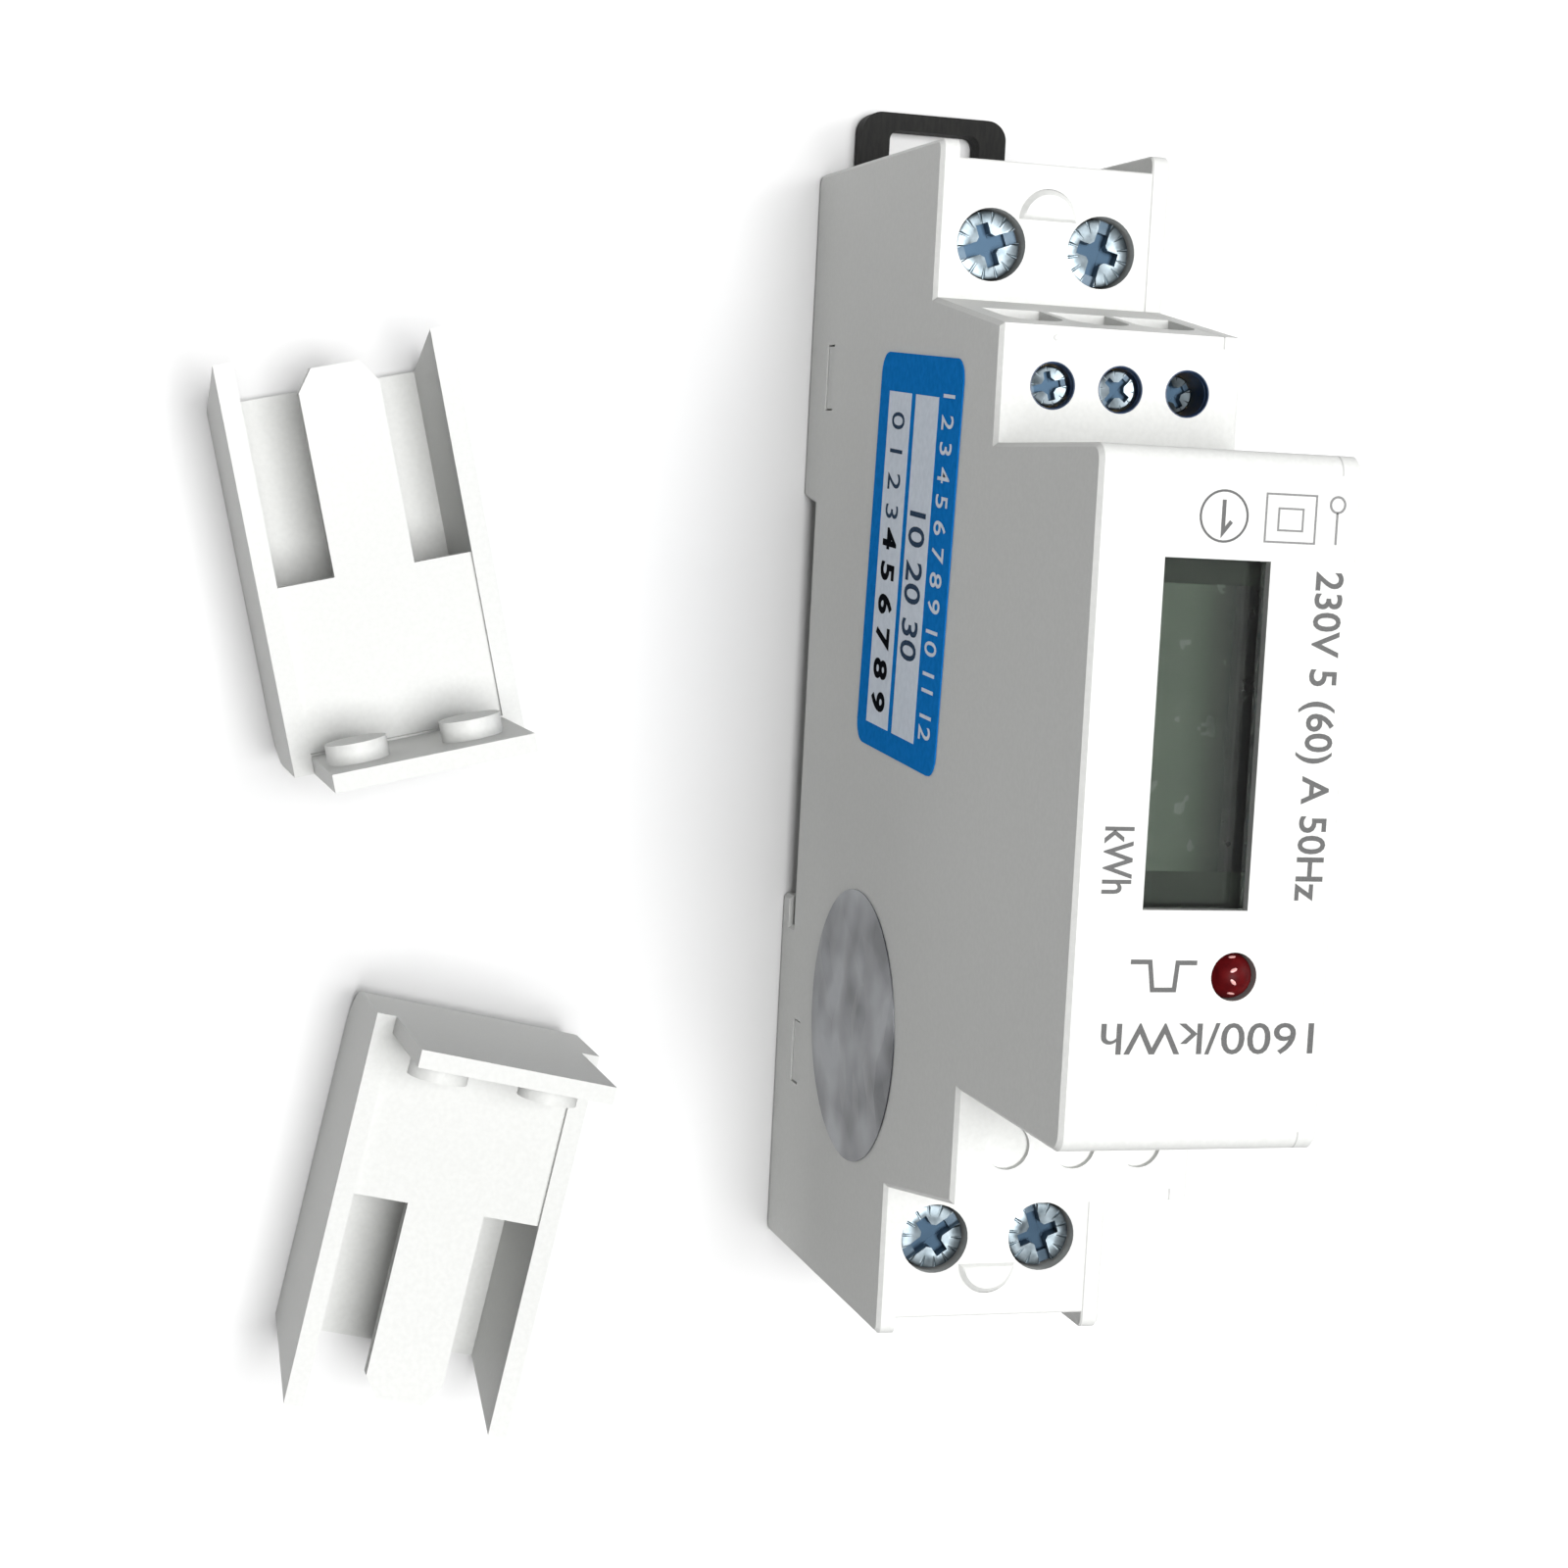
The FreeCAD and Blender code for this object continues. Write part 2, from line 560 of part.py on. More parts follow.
def rising_cage():
    """Steel cage with a threaded lid and a toothed floor that lifts the wire against the bar."""
    outer = box(around(0, CAGE_HALF_X), around(0, CAGE_HALF_Y), (CAGE_BOTTOM, CAGE_TOP))
    inner_x = around(0, CAGE_HALF_X - CAGE_WALL)
    floor = CAGE_BOTTOM + CAGE_FLOOR_T
    lid = CAGE_TOP - CAGE_LID_T
    cuts = [box(inner_x, around(0, CAGE_HALF_Y + PAST), (floor, lid)),
            cylinder(THREAD_R + FIT_GAP, 0, 0, (lid - PAST, CAGE_TOP + PAST))]
    width, depth = CAGE_TOOTH
    for i in range(CAGE_TEETH):
        middle = (i + 0.5 - CAGE_TEETH / 2) * 2 * CAGE_HALF_Y / (CAGE_TEETH + 0.6)
        cuts.append(box(inner_x, around(middle, width / 2), (floor - depth, floor + PAST)))
    return outer.cut(Part.makeCompound(cuts))


def pulse_plate():
    """Pressure plate staked under the small screw, square to the wire chamber."""
    top = PULSE_WIRE_Z + PULSE_CHAMBER_HALF_Z
    return box(around(0, PLATE_HALF[0]), around(0, PLATE_HALF[1]), (top - PLATE_THICK, top))


def pulse_pillar(x):
    """Brass pillar: thread on top, square wire chamber through it, standing on its board."""
    pillar_y = around(PULSE_Y, PILLAR_HALF_Y)
    block = box(around(x, PILLAR_HALF_X), pillar_y, PILLAR_Z)
    through_y = (pillar_y[0] - PAST, pillar_y[1] + PAST)
    chamber_z = around(PULSE_WIRE_Z, PULSE_CHAMBER_HALF_Z)
    chamber = box(around(x, PULSE_WIRE_R), through_y, chamber_z)
    thread = cylinder(PULSE_THREAD_R + FIT_GAP, x, PULSE_Y, (PULSE_WIRE_Z, PILLAR_Z[1] + PAST))
    half, length = PILLAR_PIN
    pin = box(around(x, half), around(PULSE_Y, half), (PILLAR_Z[0] - length, PILLAR_Z[0] + INNER_GAP))
    return block.cut(Part.makeCompound([chamber, thread])).fuse(pin).removeSplitter()


def pulse_block():
    """Dark insulating block that holds the three pillars under the step."""
    top = STEP_Z - WALL
    gap = WALL + FIT_GAP
    points = [(BLOCK_BACK, PILLAR_Z[0]), (riser_y(PILLAR_Z[0]) - gap, PILLAR_Z[0]),
              (riser_y(top) - gap, top), (BLOCK_BACK, top)]
    block = slab(points, (INNER_X + INNER_GAP, SEAM_X - INNER_GAP))
    cuts = []
    seat_y = around(PULSE_Y, PILLAR_HALF_Y)
    chamber_z = around(PULSE_WIRE_Z, PULSE_CHAMBER_HALF_Z)
    for x in PULSE_X:
        cuts.append(cylinder(PULSE_WELL_R, x, PULSE_Y, (PILLAR_Z[1] - PAST, top + PAST)))
        cuts.append(box(around(x, PILLAR_HALF_X), seat_y, (PILLAR_Z[0] - PAST, PILLAR_Z[1])))
        cuts.append(box(around(x, PULSE_WIRE_R), (PULSE_Y, SHELF_HALF), chamber_z))
    return block.cut(Part.makeCompound(cuts))


def main_board():
    """Upright circuit board against the side cover, stepped like the housing."""
    front_half = FRONT_HALF - WALL - INNER_GAP
    shoulder = PILLAR_Z[0] - PULSE_BOARD_T - INNER_GAP
    points = mirrored([(BOARD_HALF, BOARD_Z), (BOARD_HALF, shoulder), (front_half, shoulder),
                       (front_half, DISPLAY_BOARD_Z[1])])
    return slab(points, BOARD_X)


def pulse_board():
    """Small board under the pulse block, resting on the main board's shoulder."""
    board_y = (FRONT_HALF - PULSE_BOARD_EDGE, riser_y(PILLAR_Z[0]) - WALL - PULSE_BOARD_EDGE)
    board_z = (PILLAR_Z[0] - PULSE_BOARD_T, PILLAR_Z[0])
    board = box((INNER_X + INNER_GAP, SEAM_X), board_y, board_z)
    half = PILLAR_PIN[0]
    through = (board_z[0] - PAST, board_z[1] + PAST)
    holes = [box(around(x, half), around(PULSE_Y, half), through) for x in PULSE_X]
    return board.cut(Part.makeCompound(holes))


def display_board():
    """Board behind the front face that carries the display and the lamp."""
    return box((INNER_X + INNER_GAP, BOARD_X[0]), DISPLAY_BOARD_Y, DISPLAY_BOARD_Z)


def display_frame():
    """Pale frame that lifts the display off its board."""
    z = (DISPLAY_BOARD_Z[1], LCD_Z[0])
    outer_y = (LCD_Y[0] + FRAME_SETBACK, LCD_Y[1])
    inner_x = (LCD_X[0] + FRAME_RIM_X, LCD_X[1] - FRAME_RIM_X)
    inner_y = (outer_y[0] + FRAME_RIM_Y[0], outer_y[1] - FRAME_RIM_Y[1])
    return box(LCD_X, outer_y, z).cut(box(inner_x, inner_y, z))


def display_panel():
    """Liquid crystal cell: a longer lower glass and a shorter upper one."""
    lower = box(LCD_X, LCD_Y, (LCD_Z[0], LCD_STEP_Z))
    upper = box(LCD_X, LCD_UPPER_Y, (LCD_STEP_Z, LCD_Z[1]))
    return lower.fuse(upper)


def display_window():
    """Clear window: a plate behind the front wall with a plug in the opening."""
    rim_x = (WINDOW_X[0] - WINDOW_RIM, WINDOW_X[1] + WINDOW_RIM)
    rim_y = (WINDOW_Y[0] - WINDOW_RIM, WINDOW_Y[1] + WINDOW_RIM)
    plate = box(rim_x, rim_y, (LCD_Z[1], CEILING))
    plug_x = (WINDOW_X[0] + FIT_GAP, WINDOW_X[1] - FIT_GAP)
    plug_y = (WINDOW_Y[0] + FIT_GAP, WINDOW_Y[1] - FIT_GAP)
    return plate.fuse(box(plug_x, plug_y, (CEILING - FIT_GAP * 4, FRONT_Z - WINDOW_RECESS)))


def pulse_lamp():
    """Domed lamp on the display board, its tip just proud of the front."""
    base = DISPLAY_BOARD_Z[1]
    flange_r, flange_h = LAMP_FLANGE
    shoulder = base + flange_h
    profile = [(0, 0, base), (flange_r, 0, base), (flange_r, 0, shoulder), (LAMP_R, 0, shoulder)]
    rings = 3
    for i in range(rings + 1):
        angle = math.pi / 2 * i / rings
        profile.append((LAMP_R * math.cos(angle), 0, LAMP_DOME_Z + LAMP_R * math.sin(angle)))
    profile[-1] = (0, 0, LAMP_DOME_Z + LAMP_R)
    lamp = polygon(profile).revolve(V(0, 0, 0), V(0, 0, 1), 360)
    return placed(lamp, LAMP_X, LAMP_Y)


def bar(x, y):
    """Flat terminal bar between two Y values."""
    return box(around(x, BAR_HALF_W), y, (BAR_Z, BAR_Z + BAR_T))


def lead(x, y, rise):
    """Thin insulated lead, eight-sided: up from a bar, round a cut corner and across to the board."""
    z = BAR_Z + BAR_T
    path = [(x, z), (x, z + rise - LEAD_BEND), (x + LEAD_BEND, z + rise), (BOARD_X[0], z + rise)]
    headings = [math.atan2(b[1] - a[1], b[0] - a[0]) for a, b in zip(path, path[1:])]
    rings = []
    for i, (px, pz) in enumerate(path):
        before = headings[max(i - 1, 0)]
        after = headings[min(i, len(headings) - 1)]
        across = (before + after) / 2 - math.pi / 2
        widen = 1 / math.cos((before - after) / 2)
        ring = []
        for k in range(LEAD_SIDES):
            angle = 2 * math.pi * (k + 0.5) / LEAD_SIDES
            out = LEAD_R * widen * math.cos(angle)
            beside = LEAD_R * math.sin(angle)
            ring.append(V(px + out * math.cos(across), y + beside, pz + out * math.sin(across)))
        rings.append(Part.makePolygon(ring + ring[:1]))
    return Part.makeLoft(rings, True, True)


def film_capacitor():
    """Boxed film capacitor lying on the main board, its upper edges bevelled."""
    height, length, width = FILM_SIZE
    face = BOARD_X[0]
    case = box((face - height, face), around(FILM_Y, length / 2), around(FILM_Z, width / 2))
    return case.makeChamfer(FILM_BEVEL, edges_at_x(case, face - height))


def prism(sides, radius, start, end):
    """An even-sided bar between two points, a side face square to X or Z."""
    axis = V(*end) - V(*start)
    right = V(1, 0, 0) if abs(axis.x) < abs(axis.y) + abs(axis.z) else V(0, 0, 1)
    up = axis.cross(right).normalize()
    ring = []
    for k in range(sides):
        angle = 2 * math.pi * (k + 0.5) / sides
        ring.append(V(*start) + right * (radius * math.cos(angle)) + up * (radius * math.sin(angle)))
    return polygon(ring).extrude(axis)


def smoothing_capacitor():
    """Can capacitor standing off the main board."""
    face = BOARD_X[0]
    return prism(CAN_SIDES, CAN_R, (face, 0, CAN_Z), (face - CAN_LENGTH, 0, CAN_Z))


def varistor():
    """Disc varistor on edge, its two legs running into the main board."""
    face = BOARD_X[0]
    middle_x = face - DISC_GAP - DISC_R
    low_y, high_y = around(DISC_Y, DISC_T / 2)
    disc = prism(DISC_SIDES, DISC_R, (middle_x, low_y, DISC_Z), (middle_x, high_y, DISC_Z))
    legs = []
    for z in around(DISC_Z, LEG_SPREAD):
        legs.append(box((middle_x, face), around(DISC_Y, LEG_HALF), around(z, LEG_HALF)))
    return disc.multiFuse(legs)


def dropper_resistor():
    """Power resistor held just off the main board by its bent legs."""
    face = BOARD_X[0]
    axis_x = face - RESISTOR_R - RESISTOR_GAP
    low, high = RESISTOR_Z
    wire = around(RESISTOR_Y, LEG_HALF)
    legs = []
    for inner, outer in ((low, low - RESISTOR_REACH), (high, high + RESISTOR_REACH)):
        legs.append(box(around(axis_x, LEG_HALF), wire, tuple(sorted((inner, outer)))))
        legs.append(box((axis_x - LEG_HALF, face), wire, around(outer, LEG_HALF)))
    body = prism(RESISTOR_SIDES, RESISTOR_R, (axis_x, RESISTOR_Y, low), (axis_x, RESISTOR_Y, high))
    return body.multiFuse(legs).removeSplitter()


def chip(height, y, z, feet_per_side, pitch):
    """Moulded circuit on the main board with a row of feet along each Y side."""
    face = BOARD_X[0]
    body = box((face - height, face - CHIP_GAP), (y[0] + CHIP_FOOT, y[1] - CHIP_FOOT), z)
    feet = []
    for i in range(feet_per_side):
        middle = (z[0] + z[1]) / 2 + (i + 0.5 - feet_per_side / 2) * pitch
        for side_y in ((y[0], y[0] + CHIP_FOOT + INNER_GAP), (y[1] - CHIP_FOOT - INNER_GAP, y[1])):
            feet.append(box((face - height / 2, face), side_y, around(middle, pitch / 5)))
    return body.multiFuse(feet)


def crystal():
    """Oblong crystal can on its flanged base."""
    face = BOARD_X[0]
    can_x = (face - CRYSTAL_HEIGHT, face - CRYSTAL_BASE_T / 2)
    base_x = (face - CRYSTAL_BASE_T, face)
    layers = []
    for inset, x in ((CRYSTAL_RIM, can_x), (0, base_x)):
        y = (CRYSTAL_Y[0] + inset, CRYSTAL_Y[1] - inset)
        z = (CRYSTAL_Z[0] + inset, CRYSTAL_Z[1] - inset)
        layer = box(x, y, z)
        layers.append(layer.makeChamfer(CRYSTAL_BEVEL, edges_along(layer, V(1, 0, 0))))
    return layers[0].fuse(layers[1])


def label():
    """Rectangular sticker with rounded corners, set a little askew on the left flank."""
    half_y, half_z = (length / 2 for length in LABEL_SIZE)
    corners = [(half_y, half_z), (half_y, -half_z), (-half_y, -half_z), (-half_y, half_z)]
    sticker = slab([(y, z, LABEL_R) for y, z in corners], (LEFT - STICKER_T, LEFT))
    sticker.rotate(V(0, 0, 0), V(1, 0, 0), LABEL_TURN)
    sticker.translate(V(0, *LABEL_PLACE))
    return sticker


def tray_corner(radius, inset):
    """Points round the tray's lower corner, on a line set in from its outer surface."""
    steps = 6
    points = []
    for i in range(steps + 1):
        angle = math.pi / 2 * i / steps
        length = COVER_LENGTH - inset - radius * (1 - math.sin(angle))
        points.append((length, inset + radius * (1 - math.cos(angle))))
    return points


def tray_slab(points, half_width):
    """An outline of (length, height) points as a plate across the cover's width."""
    face = polygon([(u, -half_width, n) for u, n in points])
    return face.extrude(V(0, 2 * half_width, 0))


def t_plate():
    """Inner plate of the cover: a full-width field that narrows to a tongue towards the tip."""
    top = COVER_DEPTH - PLATE_RECESS
    side = COVER_LENGTH - COVER_WALL
    wide = WIDTH / 2 - COVER_WALL
    half = [(side, wide), (WINDOW_END, wide), (WINDOW_END, TONGUE_HALF),
            (TONGUE_START + TONGUE_TAPER, TONGUE_HALF), (TONGUE_START, TONGUE_TIP_HALF)]
    rim = half + [(u, -v) for u, v in reversed(half)]
    return polygon([(u, v, top - PLATE_T) for u, v in rim]).extrude(V(0, 0, PLATE_T))


def tray_cover(pad_side):
    """Terminal cover on its outer wall, tip end at the origin, +X towards the lip."""
    inner_half = WIDTH / 2 - COVER_WALL
    side = [(0, COVER_DEPTH), (COVER_TIP, 0)] + tray_corner(COVER_CORNER_R, 0) + [(COVER_LENGTH, COVER_DEPTH)]
    inner_corner = tray_corner(COVER_CORNER_R - COVER_WALL, COVER_WALL)
    above = COVER_DEPTH + PAST
    hollow = [(-PAST, above), (-PAST, COVER_WALL)] + inner_corner + [(COVER_LENGTH - COVER_WALL, above)]
    shell = tray_slab(side, WIDTH / 2).cut(tray_slab(hollow, inner_half))
    lip_x = (COVER_LENGTH - LIP_T, COVER_LENGTH)
    lip = box(lip_x, around(0, LIP_HALF), (COVER_DEPTH - PAST, COVER_DEPTH + LIP_HEIGHT))
    pads = []
    pad_z = COVER_DEPTH + FLANGE_HALF - TERMINAL_Y
    for x in TERMINAL_X:
        v = pad_side * x
        pads.append(rod(PAD_R, (lip_x[0] - PAD_T, v, pad_z), (lip_x[0] + LIP_T / 2, v, pad_z)))
    return shell.multiFuse([t_plate(), lip] + pads).removeSplitter()


def placed(shape, x, y, z=0):
    """A copy of a shape moved from the origin."""
    copy = shape.copy()
    copy.translate(V(x, y, z))
    return copy


def terminals():
    """Four screws with their cages, and the bars that they clamp the wires to."""
    turns = iter((20, 75, 35, 110))
    cage = rising_cage()
    fastener = terminal_screw()
    for end, side in (("top", 1), ("bottom", -1)):
        for pole, x in zip(("line", "neutral"), TERMINAL_X):
            turned = fastener.copy()
            turned.rotate(V(0, 0, 0), V(0, 0, 1), next(turns))
            parts[f"{end}_{pole}_screw"] = placed(turned, x, side * TERMINAL_Y)
            parts[f"{end}_{pole}_cage"] = placed(cage, x, side * TERMINAL_Y)
    tip = TERMINAL_Y + CAGE_HALF_Y - BAR_SETBACK
    line, neutral = TERMINAL_X
    parts["line_bar_top"] = bar(line, (SHUNT_HALF, tip))
    parts["line_bar_bottom"] = bar(line, (-tip, -SHUNT_HALF))
    waist_length, waist_depth = SHUNT_WAIST
    edge = line - BAR_HALF_W
    waist_z = (BAR_Z - PAST, BAR_Z + BAR_T + PAST)
    waist = box((edge - PAST, edge + waist_depth), around(0, waist_length / 2), waist_z)
    parts["shunt"] = bar(line, around(0, SHUNT_HALF)).cut(waist)
    parts["neutral_bar"] = bar(neutral, around(0, tip))


def pulse_terminals():
    """Three small terminals in their block; the third screw is driven in further."""
    fastener = pulse_screw()
    plate = pulse_plate()
    for i, (x, sink) in enumerate(zip(PULSE_X, PULSE_SINK), 1):
        parts[f"pulse_screw_{i}"] = placed(fastener, x, PULSE_Y, -sink)
        parts[f"pulse_plate_{i}"] = placed(plate, x, PULSE_Y, -sink)
        parts[f"pulse_pillar_{i}"] = pulse_pillar(x)
    parts["pulse_block"] = pulse_block()
    parts["pulse_board"] = pulse_board()


def display():
    """Window, liquid crystal cell, its frame and board, and the lamp beside it."""
    parts["display_window"] = display_window()
    parts["display_panel"] = display_panel()
    parts["display_frame"] = display_frame()
    parts["display_board"] = display_board()
    parts["pulse_lamp"] = pulse_lamp()


def electronics():
    """The main board with its parts, and the leads up from the bars."""
    parts["main_board"] = main_board()
    parts["film_capacitor"] = film_capacitor()
    parts["smoothing_capacitor"] = smoothing_capacitor()
    parts["varistor"] = varistor()
    parts["dropper_resistor"] = dropper_resistor()
    parts["optocoupler"] = chip(OPTO_HEIGHT, OPTO_Y, OPTO_Z, 2, OPTO_PITCH)
    metering_y = around(0, METERING_HALF_Y)
    parts["metering_chip"] = chip(METERING_HEIGHT, metering_y, METERING_Z, 4, METERING_PITCH)
    controller_y = around(0, CONTROLLER_HALF_Y)
    parts["controller_chip"] = chip(CONTROLLER_HEIGHT, controller_y, CONTROLLER_Z, 5, CONTROLLER_PITCH)
    parts["crystal"] = crystal()
    line, neutral = TERMINAL_X
    for i, y in enumerate(around(0, SENSE_Y), 1):
        parts[f"sense_lead_{i}"] = lead(line, y, SENSE_RISE)
    parts["neutral_lead"] = lead(neutral, NEUTRAL_LEAD_Y, NEUTRAL_RISE)


def stickers():
    """The two stickers on the left flank."""
    parts["certificate_label"] = label()
    seal_y, seal_z = SEAL_PLACE
    seal_x = (LEFT - STICKER_T, LEFT)
    parts["round_seal"] = prism(SEAL_SIDES, SEAL_R, *((x, seal_y, seal_z) for x in seal_x))


def covers():
    """Both terminal covers, lying open side up beside the meter."""
    for name, (x, y, heading, pad_side) in COVER_PLACES.items():
        cover = tray_cover(pad_side)
        cover.rotate(V(0, 0, 0), V(0, 0, 1), heading)
        parts[name] = placed(cover, x, y)


def build():
    """Make every piece and write each one as a STEP file of its own."""
    parts["housing"] = housing()
    parts["side_cover"] = side_cover()
    parts["rail_clip"] = rail_clip()
    parts["clip_spring"] = clip_spring()
    terminals()
    pulse_terminals()
    display()
    electronics()
    stickers()
    covers()
    os.makedirs("parts", exist_ok=True)
    for name, shape in parts.items():
        print(f"{name:24s} solids {len(shape.Solids)} valid {shape.isValid()} volume {shape.Volume:9.1f}")
        shape.Solids[0].exportStep(f"parts/{name}.step")


build()
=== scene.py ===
"""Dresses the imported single-module energy meter: camera, light, finishes and the detail too fine for CAD."""
import bpy
import bmesh
import math
import random
from mathutils import Matrix, Vector
from mathutils.geometry import delaunay_2d_cdt


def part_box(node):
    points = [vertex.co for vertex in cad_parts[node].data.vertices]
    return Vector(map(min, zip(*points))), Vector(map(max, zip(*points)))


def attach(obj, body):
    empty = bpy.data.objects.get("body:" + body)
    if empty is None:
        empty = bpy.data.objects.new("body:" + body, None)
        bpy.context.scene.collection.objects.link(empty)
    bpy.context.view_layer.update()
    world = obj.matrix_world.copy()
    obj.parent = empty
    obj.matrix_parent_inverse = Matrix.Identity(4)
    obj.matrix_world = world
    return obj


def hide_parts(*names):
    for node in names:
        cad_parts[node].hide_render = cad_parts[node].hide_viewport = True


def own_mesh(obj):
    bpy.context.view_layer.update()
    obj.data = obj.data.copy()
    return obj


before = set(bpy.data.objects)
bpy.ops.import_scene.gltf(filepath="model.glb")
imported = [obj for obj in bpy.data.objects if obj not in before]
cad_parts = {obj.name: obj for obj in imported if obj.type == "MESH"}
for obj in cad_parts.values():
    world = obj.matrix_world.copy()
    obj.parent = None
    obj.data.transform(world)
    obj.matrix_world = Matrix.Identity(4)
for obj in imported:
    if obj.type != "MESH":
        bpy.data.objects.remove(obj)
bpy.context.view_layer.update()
MM = 0.001

# Camera.
# It stands above the meter, beyond its left flank, as the corners of the stepped body and of
# both covers in the photograph place it.
CAMERA_PLACE = (-76.909, 18.562, 232.308)
CAMERA_TURN = (-6.6483, -15.8759, 3.007)
CAMERA_SENSOR = 36.0
CAMERA_LENS = 66.209
CAMERA_NEAR = 10.0
camera_data = bpy.data.cameras.new("camera")
camera_data.sensor_width = CAMERA_SENSOR
camera_data.lens = CAMERA_LENS
camera_data.clip_start = CAMERA_NEAR * MM
camera = bpy.data.objects.new("camera", camera_data)
camera.location = Vector(CAMERA_PLACE) * MM
camera.rotation_euler = [math.radians(angle) for angle in CAMERA_TURN]
bpy.context.scene.collection.objects.link(camera)
bpy.context.scene.camera = camera

# Floor and light.
# A plain white sheet of card under a soft sky that is bright over the right side and dim over
# the left, with a broad softbox overhead and a weaker one low on the right.
FLOOR_HALF = 2.5
FLOOR_Z = -0.1
FLOOR_COLOUR = (0.66, 0.66, 0.66, 1.0)
FLOOR_ROUGH = 0.9
FLOOR_SHINE = 0.1
SKY_DIM = (0.08, 0.085, 0.09, 1.0)
SKY_BRIGHT = (1.0, 1.0, 1.0, 1.0)
SKY_STRENGTH = 0.27
LIGHT_AIM = Vector((-0.02, 0.0, 0.03))
SOFTBOXES = (("overhead", (0.0, 0.0, 1.1), 0.5, 18.0), ("low_right", (0.85, 0.25, 0.5), 0.4, 4.0))
SKY_LEAN = (0.75, 0.1, 0.45)
SKY_SPREAD = (-0.45, 0.75)
floor_mesh = bpy.data.meshes.new("floor")
corners = [(x * FLOOR_HALF, y * FLOOR_HALF, FLOOR_Z * MM) for x, y in ((-1, -1), (1, -1), (1, 1), (-1, 1))]
floor_mesh.from_pydata(corners, [], [(0, 1, 2, 3)])
floor = bpy.data.objects.new("floor", floor_mesh)
bpy.context.scene.collection.objects.link(floor)
card = bpy.data.materials.new("white_card")
card.use_nodes = True
card_shader = card.node_tree.nodes["Principled BSDF"]
card_shader.inputs["Base Color"].default_value = FLOOR_COLOUR
card_shader.inputs["Roughness"].default_value = FLOOR_ROUGH
card_shader.inputs["Specular IOR Level"].default_value = FLOOR_SHINE
floor_mesh.materials.append(card)

world = bpy.data.worlds.new("studio")
world.use_nodes = True
sky = world.node_tree
direction = sky.nodes.new("ShaderNodeTexCoord")
lean = sky.nodes.new("ShaderNodeVectorMath")
lean.operation = "DOT_PRODUCT"
lean.inputs[1].default_value = SKY_LEAN
spread = sky.nodes.new("ShaderNodeMapRange")
spread.inputs["From Min"].default_value = SKY_SPREAD[0]
spread.inputs["From Max"].default_value = SKY_SPREAD[1]
shade = sky.nodes.new("ShaderNodeMix")
shade.data_type = "RGBA"
shade.inputs["A"].default_value = SKY_DIM
shade.inputs["B"].default_value = SKY_BRIGHT
sky.links.new(direction.outputs["Generated"], lean.inputs[0])
sky.links.new(lean.outputs["Value"], spread.inputs["Value"])
sky.links.new(spread.outputs["Result"], shade.inputs["Factor"])
sky.links.new(shade.outputs["Result"], sky.nodes["Background"].inputs["Color"])
sky.nodes["Background"].inputs["Strength"].default_value = SKY_STRENGTH
bpy.context.scene.world = world

for name, place, size, watts in SOFTBOXES:
    light_data = bpy.data.lights.new(name, "AREA")
    light_data.size = size
    light_data.energy = watts
    light = bpy.data.objects.new(name, light_data)
    light.location = place
    light.rotation_euler = (LIGHT_AIM - Vector(place)).to_track_quat("-Z", "Y").to_euler()
    bpy.context.scene.collection.objects.link(light)
bpy.context.scene.view_settings.view_transform = "Standard"

# Housing and side cover.
# Two injection-moulded shells in bright white plastic, satin from the spark-eroded mould, the
# flat cover snapped on from the right. Their edges are broken by the mould's own small radius.
WHITE_DIM = (0.545, 0.55, 0.537)
WHITE_BRIGHT = (0.575, 0.58, 0.567)
WHITE_SHINE = 0.2
WHITE_ROUGH = (0.42, 0.52)
WHITE_RELIEF = (0.12, 0.01)
MOULD_RADIUS = 0.1
FLAT_ANGLE = math.radians(0.5)
EDGE_ANGLE = math.radians(40)
NOISE_DETAIL = 5.0
COLOUR_SPAN = (0.35, 0.65)
GLOSS_SPAN = (0.3, 0.7)


